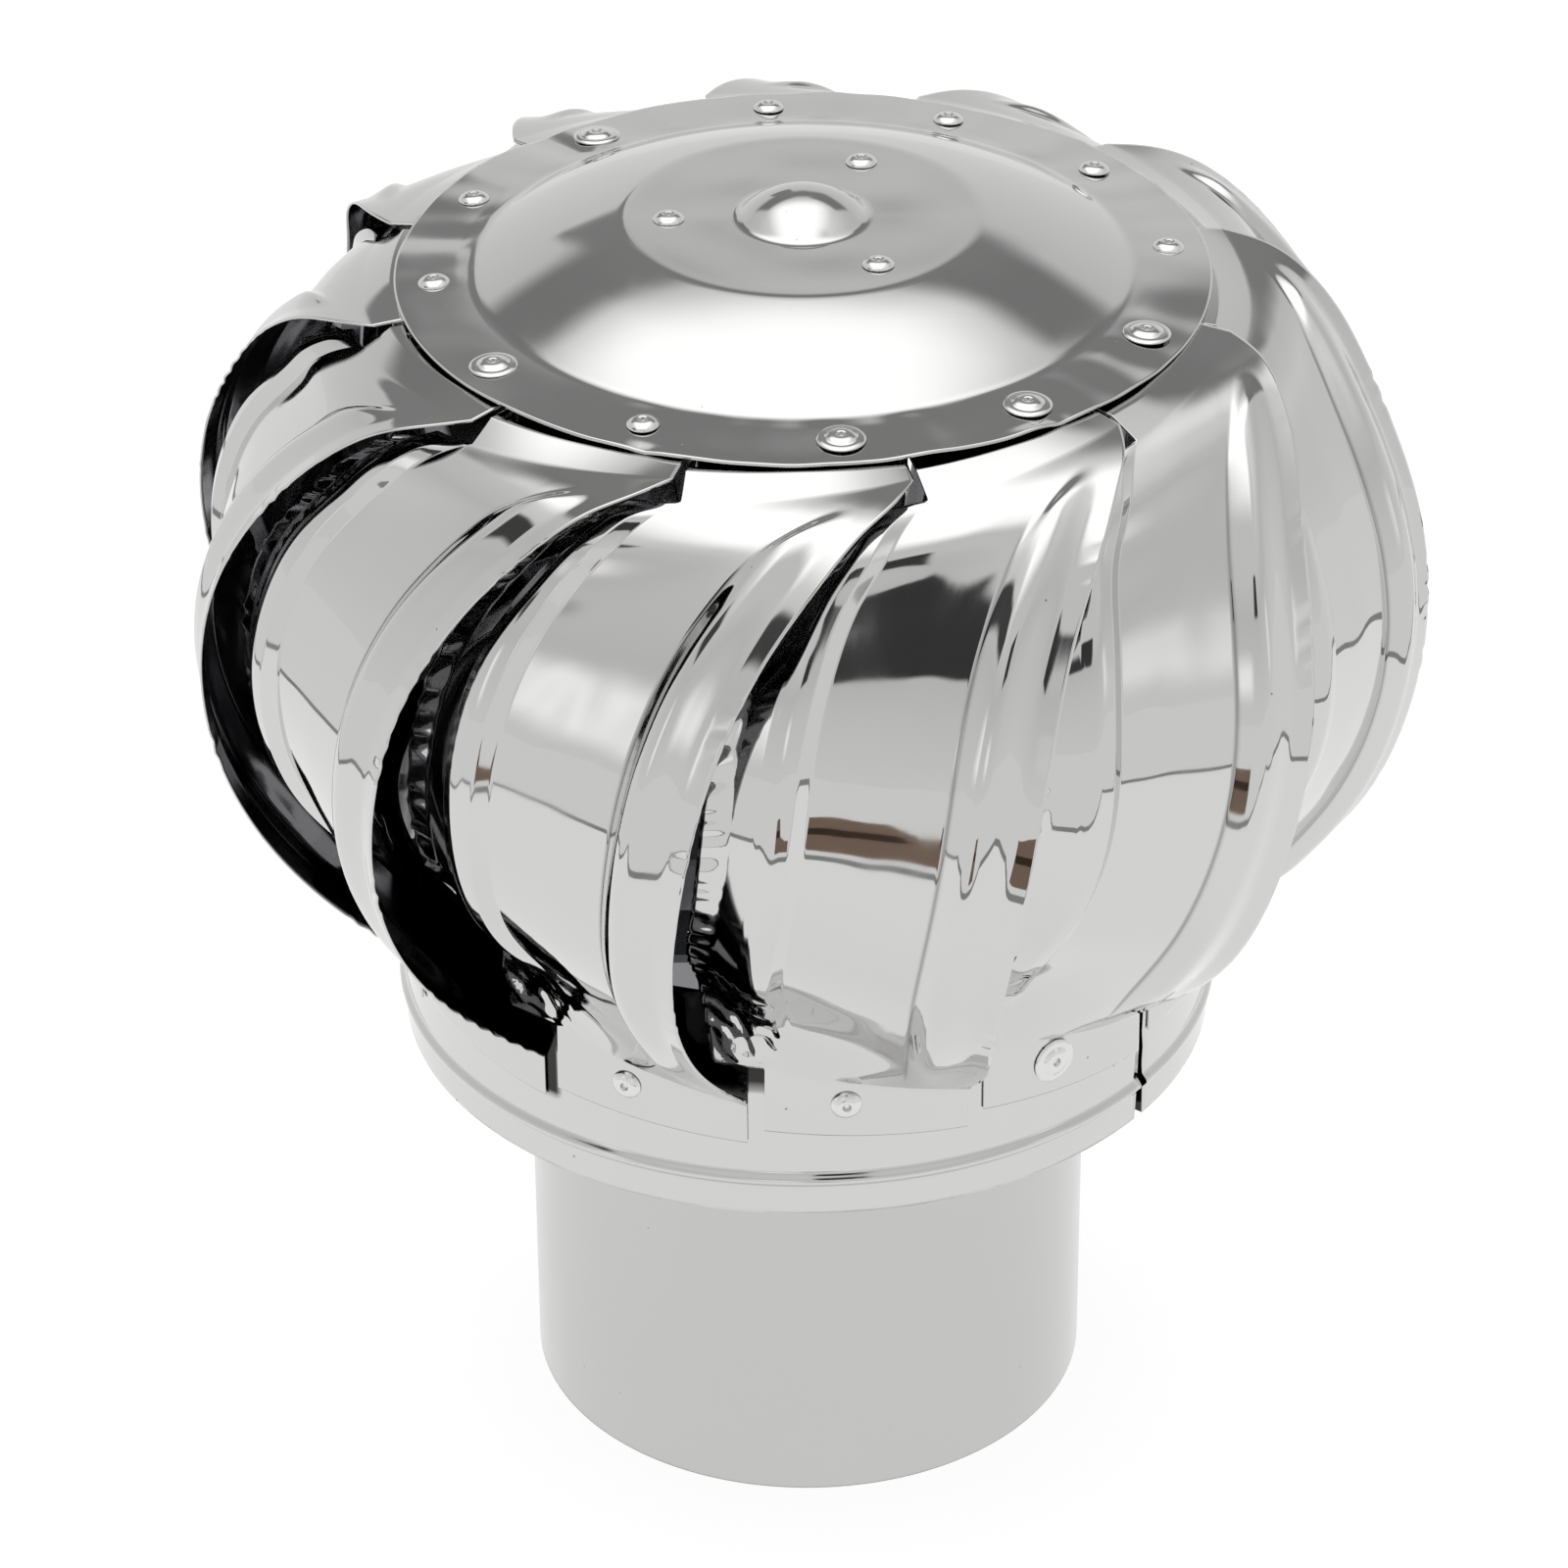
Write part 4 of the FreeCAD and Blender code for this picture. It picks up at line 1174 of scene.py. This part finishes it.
    def grid(self, seed: float) -> tuple[list[list[np.ndarray]], int, int]:
        """All rows of a blade, tabs included.

        Args:
            seed: the blade's own unevenness.

        Returns:
            The rows, and how many of them belong to the top tab and to the foot.
        """
        face = self.face_rows(seed)
        tops = self.top_rows(face[0])
        last = self.tab_row(
            (self.foot_left_az, self.tab_r, self.ring_lift + self.foot_left),
            (self.foot_right_az, self.tab_r, self.ring_lift + self.foot_right))
        feet = [[a + (b - a) * share for a, b in zip(face[-1], last)] for share in self.foot_shares]
        return tops + face + feet, len(tops), len(feet)

    def build_one(self, index: int, material: Material, inside: Material) -> Object:
        """Lay a grid on the blade's outer face and turn it to its place.

        Args:
            index: 0 for the blade at the front.
            material: the outer face's finish.
            inside: the inner face's finish, a darker copy as painted shade.

        Returns:
            The blade.
        """
        rows, top_rows, foot_rows = self.grid(SEED + self.seed_step * index)
        tall, wide = len(rows), len(self.columns)
        bm = bmesh.new()
        bmesh.ops.create_grid(bm, x_segments=wide - 1, y_segments=tall - 1, size=1.0)
        spin = Matrix.Rotation(math.radians(360.0 / self.count * index), 3, "Z")
        dirt_and_painted_shade = bm.verts.layers.float.new(PAINTED_SHADE_MASK)
        outside = []
        before_foot = sum(distance < -WELD for distance in self.columns)
        before_tab = sum(distance < self.tab_from - WELD for distance in self.columns)
        for vert in bm.verts:
            j = round((vert.co.x + 1) / 2 * (wide - 1))
            i = round((1 - vert.co.y) / 2 * (tall - 1))
            vert.co = spin @ Vector(rows[i][j])
            along = (i - top_rows) / (tall - top_rows - foot_rows)
            # Painted shade along the foot of the bead
            off = (self.columns[j] - self.crease) / self.crease_width
            vert[dirt_and_painted_shade] = self.crease_share * math.exp(-off * off) * swell(along, self.crease_run)
            if (j < before_tab and i < top_rows) or (j < before_foot and i >= tall - foot_rows):
                outside.append(vert)
        bmesh.ops.delete(bm, geom=outside, context="VERTS")
        bmesh.ops.remove_doubles(bm, verts=bm.verts, dist=WELD)
        outward(bm)
        piece = finish_mesh(bm, "blade_sheet_%02d" % (index + 1), material)
        thicken(piece, self.sheet, inside)
        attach(piece, "rotor")
        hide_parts("blade_%02d" % (index + 1))
        return piece

    def build(self) -> list[Object]:
        """Build every blade.

        Returns:
            The blades, the front one first.
        """
        material, inside = MIRROR_BLADE.make(), INSIDE_PAINTED_SHADE.make()
        return [self.build_one(index, material, inside) for index in range(self.count)]


# Rivets

@dataclass(frozen=True)
class RivetCircle:
    """Places evenly spaced round the axis, with the azimuth of the first.

    Each rivet leans outwards by tilt, and is turned about itself by twist more than the one before it,
    both in radians.
    """

    count: int
    azimuth: float
    radius: float
    height: float
    tilt: float = 0.0
    twist: float = 0.0

    def seats(self) -> list[Matrix]:
        """Where the rivets' seats are.

        Returns:
            One place for each rivet, with Z along it.
        """
        lean = Matrix.Translation((0, -self.radius, self.height)) @ Matrix.Rotation(self.tilt, 4, "X")
        turns = [math.radians(self.azimuth + 360.0 / self.count * k) for k in range(self.count)]
        return [
            Matrix.Rotation(turn, 4, "Z") @ lean @ Matrix.Rotation(self.twist * k, 4, "Z")
            for k, turn in enumerate(turns)]


@dataclass
class Rivets:
    """Blind rivets: domed heads with the mandrel's end sunk in the middle.

    The section is (radius, height) points over the head's seat, from the sunk mandrel over the dome and
    the rim, and for the tail over the tail's own seat. Grips run from the one seat to the other.
    """

    segments: int = 40
    mandrel: tuple[tuple[float, float], ...] = (
        (0.0, 0.62), (0.55, 0.66), (0.72, 0.5), (0.8, 0.42), (0.95, 0.6), (1.1, 1.38), (1.35, 1.5))
    large_dome: tuple[tuple[float, float], ...] = ((1.5, 1.5), (3.0, 1.32), (4.0, 0.78))
    large_rim: tuple[tuple[float, float], ...] = (
        (4.25, 0.7), (4.5, 0.74), (5.3, 0.66), (5.75, 0.5), (6.0, 0.28), (6.0, 0.05), (5.85, 0.0))
    small_dome: tuple[tuple[float, float], ...] = ((1.5, 1.5), (2.9, 1.16), (3.9, 0.36))
    small_rim: tuple[tuple[float, float], ...] = ((4.0, 0.22), (4.0, 0.05), (3.85, 0.0))
    shank_r: float = 1.95
    tail: tuple[tuple[float, float], ...] = (
        (1.95, 0.0), (2.8, 0.0), (3.1, -0.4), (3.1, -1.5), (2.17, -2.7), (1.55, -3.0), (0.0, -3.0))
    sheet_grip: float = 1.5
    housing_grip: float = 2.1
    spider_grip: float = 3.6
    cap: RivetCircle = RivetCircle(
        12, 5.5, (RIM_R + CREASE_R) / 2, RIM_Z + CAP_WALL + 0.05,
        math.atan2(FLANGE_RISE, RIM_R - CREASE_R), 0.7)
    ring: RivetCircle = RivetCircle(12, 5.2, 108.65, 148.0, math.pi / 2, 0.7)
    plateau: RivetCircle = RivetCircle(3, 33.5, 33.5, 342.75)
    large_on_cap: tuple[int, ...] = (0, 1, 2, 7, 10)
    large_on_ring: tuple[int, ...] = (1, 5, 9)
    sharp: float = 40.0

    def one(self, large: bool, grip: float) -> BMesh:
        """A single rivet along Z, with its head's seat at height 0.

        Args:
            large: whether the head has a wide flange.
            grip: millimetres from the seat to the tail.

        Returns:
            Its closed mesh.
        """
        dome, rim, steps = self.small_dome, self.small_rim, 8
        if large:
            dome, rim, steps = self.large_dome, self.large_rim, 6
        points = [*self.mandrel, *arc(*dome, steps), *rim, (self.shank_r, 0.0)]
        points += [(r, z - grip) for r, z in self.tail]
        bm = spun(points, self.segments)
        bmesh.ops.recalc_face_normals(bm, faces=bm.faces)
        return bm

    def group(
        self, name: str, large: bool, grip: float, places: Sequence[Matrix], material: Material
    ) -> Object:
        """Copies of one rivet in one mesh.

        Args:
            name: name of the piece, which is its CAD node's name with _set at the end.
            large: whether the heads have a wide flange.
            grip: millimetres from the seat to the tail.
            places: where each rivet's seat is, with Z along the rivet.
            material: the rivets' finish.

        Returns:
            The group.
        """
        source = self.one(large, grip)
        mesh = bpy.data.meshes.new("rivet_pattern")
        source.to_mesh(mesh)
        source.free()
        bm = bmesh.new()
        for place in places:
            start = len(bm.verts)
            bm.from_mesh(mesh)
            bm.verts.ensure_lookup_table()
            bmesh.ops.transform(bm, matrix=place, verts=bm.verts[start:])
        bpy.data.meshes.remove(mesh)
        piece = finish_mesh(bm, name + "_set", material)
        piece.data.set_sharp_from_angle(angle=math.radians(self.sharp))
        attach(piece, "rotor")
        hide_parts(name)
        return piece

    def build(self) -> list[Object]:
        """Place all the rivets of the head.

        Returns:
            One piece for each CAD node of rivets.
        """
        material = RIVET_METAL.make()
        cap, ring = self.cap.seats(), self.ring.seats()
        cap_small = [seat for k, seat in enumerate(cap) if k not in self.large_on_cap]
        ring_small = [seat for k, seat in enumerate(ring) if k not in self.large_on_ring]
        cap_large, ring_large = [cap[k] for k in self.large_on_cap], [ring[k] for k in self.large_on_ring]
        return [
            self.group("cap_rivets_large", True, self.sheet_grip, cap_large, material),
            self.group("cap_rivets_small", False, self.sheet_grip, cap_small, material),
            self.group("ring_rivets_large", True, self.spider_grip, ring_large, material),
            self.group("ring_rivets_small", False, self.sheet_grip, ring_small, material),
            self.group("plateau_rivets", False, self.housing_grip, self.plateau.seats(), material)]


# Inner parts, which keep their CAD meshes

@dataclass
class InnerParts:
    """Spindle, straps, bearings and housings inside the cowl."""

    def dress(self) -> None:
        """Give every inner part its metal."""
        zinc, ground, pressed = ZINC_STEEL.make(), GROUND_STEEL.make(), PRESSED_STEEL.make()
        finishes = {"plated_steel": zinc, "bearing_steel": ground, "cage_steel": pressed}
        for part in frame["record"]["subparts"]:
            finish = finishes.get(part["material_slot"])
            if finish is None:
                continue
            node = frame["nodes"][part["node"]]
            if not node.material_slots:
                node.data.materials.append(finish)
            for slot in node.material_slots:
                slot.material = finish
            log.info("%s in %s", part["node"], finish.name)


# Studio

@dataclass(frozen=True)
class Ground:
    """Flat rectangle of the studio, lit a little from within. Half sizes and middle are in metres."""

    name: str
    half: tuple[float, float]
    middle: tuple[float, float, float]
    colour: str
    glow: float
    glow_colour: str = "FFFFFF"

    def lay(self) -> Object:
        """Add the rectangle.

        Returns:
            The rectangle, which is no piece of the cowl.
        """
        bm = bmesh.new()
        bmesh.ops.create_grid(bm, x_segments=1, y_segments=1, size=1.0)
        bmesh.ops.scale(bm, vec=(*self.half, 1.0), verts=bm.verts)
        bmesh.ops.translate(bm, vec=self.middle, verts=bm.verts)
        mesh = bpy.data.meshes.new(self.name)
        bm.to_mesh(mesh)
        bm.free()
        material = bpy.data.materials.new(self.name + "_paint")
        material.use_nodes = True
        shader = material.node_tree.nodes["Principled BSDF"]
        for socket, value in (
                ("Base Color", linear(self.colour)), ("Roughness", 0.9), ("Specular IOR Level", 0.0),
                ("Emission Color", linear(self.glow_colour)), ("Emission Strength", self.glow)):
            shader.inputs[socket].default_value = value
        mesh.materials.append(material)
        ground = bpy.data.objects.new(self.name, mesh)
        bpy.context.scene.collection.objects.link(ground)
        return ground


FLOOR = Ground("floor", (9.0, 9.0), (0.0, 0.0, 0.0), "A0A0A0", 0.78)
MIRRORED = (
    Ground("table_top", (0.62, 0.56), (0.0, 0.06, -0.0005), "C4C4C4", 0.37),
    Ground("table_edge", (0.66, 0.6), (0.0, 0.06, -0.004), "505050", 0.2),
    Ground("crate_gap", (0.035, 0.05), (0.035, -0.8, -0.003), "302820", 0.06, "806A5C"),
    Ground("crate_top", (0.05, 0.25), (0.035, -0.83, -0.005), "3A2A20", 0.3, "C8AE9C"),
    Ground("room_floor", (9.0, 9.0), (0.0, 0.0, -0.01), "303030", 0.86))


@dataclass(frozen=True)
class Panel:
    """Rectangle in the surroundings that faces the cowl, brighter or darker than the room.

    Azimuth and elevation are degrees of its middle. Width and height are half sizes, soft is the width
    of the blurred edge and shift moves the rectangle sideways, all as tangents of their angles.
    """

    azimuth: float
    elevation: float
    width: float
    height: float
    soft: float
    level: float
    shift: float = 0.0

    def lay(self, tree: NodeTree, place: NodeSocket, room: NodeSocket) -> NodeSocket:
        """Lay the panel over the room's light.

        Args:
            tree: the world's node tree.
            place: direction seen.
            room: brightness without the panel.

        Returns:
            Brightness with the panel.
        """
        turn = (math.radians(self.elevation), 0.0, math.radians(self.azimuth + 180))
        faced = add_node(
            tree, "ShaderNodeMapping", {"vector_type": "TEXTURE", "Rotation": turn}, {"Vector": place})
        x, y, z = add_node(tree, "ShaderNodeSeparateXYZ", links={"Vector": faced.outputs[0]}).outputs
        cover = add_node(tree, "ShaderNodeMath", {"operation": "GREATER_THAN", 1: 0.0}, {0: y})
        for side, half, shift in ((x, self.width, self.shift), (z, self.height, 0.0)):
            slope = add_node(tree, "ShaderNodeMath", {"operation": "DIVIDE"}, {0: side, 1: y})
            moved = add_node(
                tree, "ShaderNodeMath", {"operation": "SUBTRACT", 1: shift}, {0: slope.outputs[0]})
            off = add_node(tree, "ShaderNodeMath", {"operation": "ABSOLUTE"}, {0: moved.outputs[0]})
            edge = {"interpolation_type": "SMOOTHSTEP", "From Min": half + self.soft / 2,
                    "From Max": half - self.soft / 2}
            inside = add_node(tree, "ShaderNodeMapRange", edge, {"Value": off.outputs[0]})
            cover = add_node(
                tree, "ShaderNodeMath", {"operation": "MULTIPLY"},
                {0: cover.outputs[0], 1: inside.outputs["Result"]})
        mixed = add_node(
            tree, "ShaderNodeMapRange", {"clamp": False, "To Max": self.level},
            {"Value": cover.outputs[0], "To Min": room})
        return mixed.outputs["Result"]


SOFTBOX = Panel(180.0, 84.0, 0.46, 0.58, 0.42, 1.68, -0.08)
DIM_CEILING = Panel(10.0, 62.0, 0.5, 0.35, 0.25, 0.78)
LEFT_BOARD = Panel(-155.0, 36.0, 0.22, 0.14, 0.11, 0.26)
RIGHT_BOARD = Panel(155.0, 38.0, 0.22, 0.14, 0.11, 0.26)
REAR_BOARD = Panel(180.0, 36.0, 0.3, 0.12, 0.16, 0.28)
LOW_BOARD = Panel(-167.0, 25.0, 0.1, 0.09, 0.04, 0.28)
CAMERA_STAND = Panel(9.5, 38.0, 0.1, 0.12, 0.03, 0.05)
LEFT_DOORWAY = Panel(-74.0, 41.0, 0.22, 0.09, 0.05, 0.07)
LEFT_STRIP = Panel(-52.0, 14.0, 0.06, 0.16, 0.16, 1.3)
RIGHT_STRIP = Panel(65.0, 13.0, 0.07, 0.14, 0.16, 1.1)
FRONT_STRIP = Panel(-8.0, 13.0, 0.09, 0.1, 0.16, 1.2)


@dataclass
class Studio:
    """White floor, bright room with a softbox and dark boards for the mirrors, and the camera.

    The camera's place is in millimetres and its clip in metres. The lamp's places and its width are in
    metres and its power in watts. room_bands holds the room's brightness by the sine of the elevation.
    """

    camera_place: tuple[float, float, float] = (0.0, -1340.05, 1000.69)
    camera_forward: tuple[float, float, float] = (-0.00362232, 0.85165084, -0.52409706)
    camera_roll: float = 0.42096
    camera_clip: tuple[float, float] = (0.05, 50.0)
    focal_pixels: float = 6080.8
    image_pixels: float = 1600.0
    sensor: float = 36.0
    lamp_place: tuple[float, float, float] = (0.0, 0.7, 2.5)
    lamp_aim: tuple[float, float, float] = (0.0, 0.0, 0.2)
    lamp_width: float = 1.4
    lamp_power: float = 5.0
    room_bands: tuple[tuple[float, float], ...] = (
        (0.0, 0.84), (0.34, 0.76), (0.5, 0.7), (0.66, 0.76), (0.8, 0.92), (1.0, 1.25))
    panels: tuple[Panel, ...] = (
        DIM_CEILING, SOFTBOX, LEFT_BOARD, RIGHT_BOARD, REAR_BOARD, LOW_BOARD, CAMERA_STAND, LEFT_DOORWAY,
        LEFT_STRIP, RIGHT_STRIP, FRONT_STRIP)

    def camera(self) -> None:
        """Set the camera where the photograph was taken from."""
        data = bpy.data.cameras.new("camera")
        data.sensor_width = self.sensor
        data.lens = self.sensor * self.focal_pixels / self.image_pixels
        data.clip_start, data.clip_end = self.camera_clip
        camera = bpy.data.objects.new("camera", data)
        turn = Vector(self.camera_forward).to_track_quat("-Z", "Y").to_matrix().to_4x4()
        roll = Matrix.Rotation(-math.radians(self.camera_roll), 4, "Z")
        camera.matrix_world = Matrix.Translation(Vector(self.camera_place) * MM) @ turn @ roll
        bpy.context.scene.collection.objects.link(camera)
        bpy.context.scene.camera = camera

    def floor(self) -> None:
        """White floor for the camera, and for the mirrors a white table in a room with a crate."""
        floor = FLOOR.lay()
        floor.visible_glossy = False
        floor.visible_shadow = False
        for ground in MIRRORED:
            piece = ground.lay()
            piece.visible_camera = False
            piece.visible_diffuse = False
            piece.visible_shadow = False

    def surroundings(self) -> None:
        """Light of the room, seen in the mirrors, from the horizon to straight up."""
        world = bpy.data.worlds.new("studio")
        bpy.context.scene.world = world
        world.use_nodes = True
        tree = world.node_tree
        tree.nodes.clear()
        place = add_node(tree, "ShaderNodeTexCoord").outputs["Generated"]
        parts = add_node(tree, "ShaderNodeSeparateXYZ", links={"Vector": place})
        bands = add_node(tree, "ShaderNodeValToRGB", links={"Fac": parts.outputs[2]})
        elements = bands.color_ramp.elements
        while len(elements) < len(self.room_bands):
            elements.new(0.5)
        for element, (where, level) in zip(elements, self.room_bands):
            element.position = where
            element.color = (level, level, level, 1)
        light = bands.outputs["Color"]
        for panel in self.panels:
            light = panel.lay(tree, place, light)
        ground = add_node(tree, "ShaderNodeBackground", links={"Strength": light})
        ground.inputs["Color"].default_value = linear("FFFFFF")
        add_node(tree, "ShaderNodeOutputWorld", links={"Surface": ground.outputs["Background"]})

    def lamp(self) -> None:
        """Add a soft square lamp above and behind the cowl, facing it."""
        data = bpy.data.lights.new("top_softbox", "AREA")
        data.size = self.lamp_width
        data.energy = self.lamp_power
        lamp = bpy.data.objects.new("top_softbox", data)
        aim = Vector(self.lamp_aim) - Vector(self.lamp_place)
        turn = aim.to_track_quat("-Z", "Y").to_matrix().to_4x4()
        lamp.matrix_world = Matrix.Translation(self.lamp_place) @ turn
        lamp.visible_glossy = False
        bpy.context.scene.collection.objects.link(lamp)

    def build(self) -> None:
        """Set up the studio."""
        self.camera()
        self.floor()
        self.surroundings()
        self.lamp()
        scene = bpy.context.scene
        scene.view_settings.view_transform = "Standard"
        scene.view_settings.look = "None"


def main() -> None:
    """Build the studio and every part."""
    Studio().build()
    pieces = [Collar().build(), TurbineRing().build(), TopCap().build()]
    pieces += Blades().build()
    pieces += Rivets().build()
    for piece in pieces:
        log.info("%s with %d faces", piece.name, len(piece.data.polygons))
    InnerParts().dress()


if __name__ == "__main__":
    main()
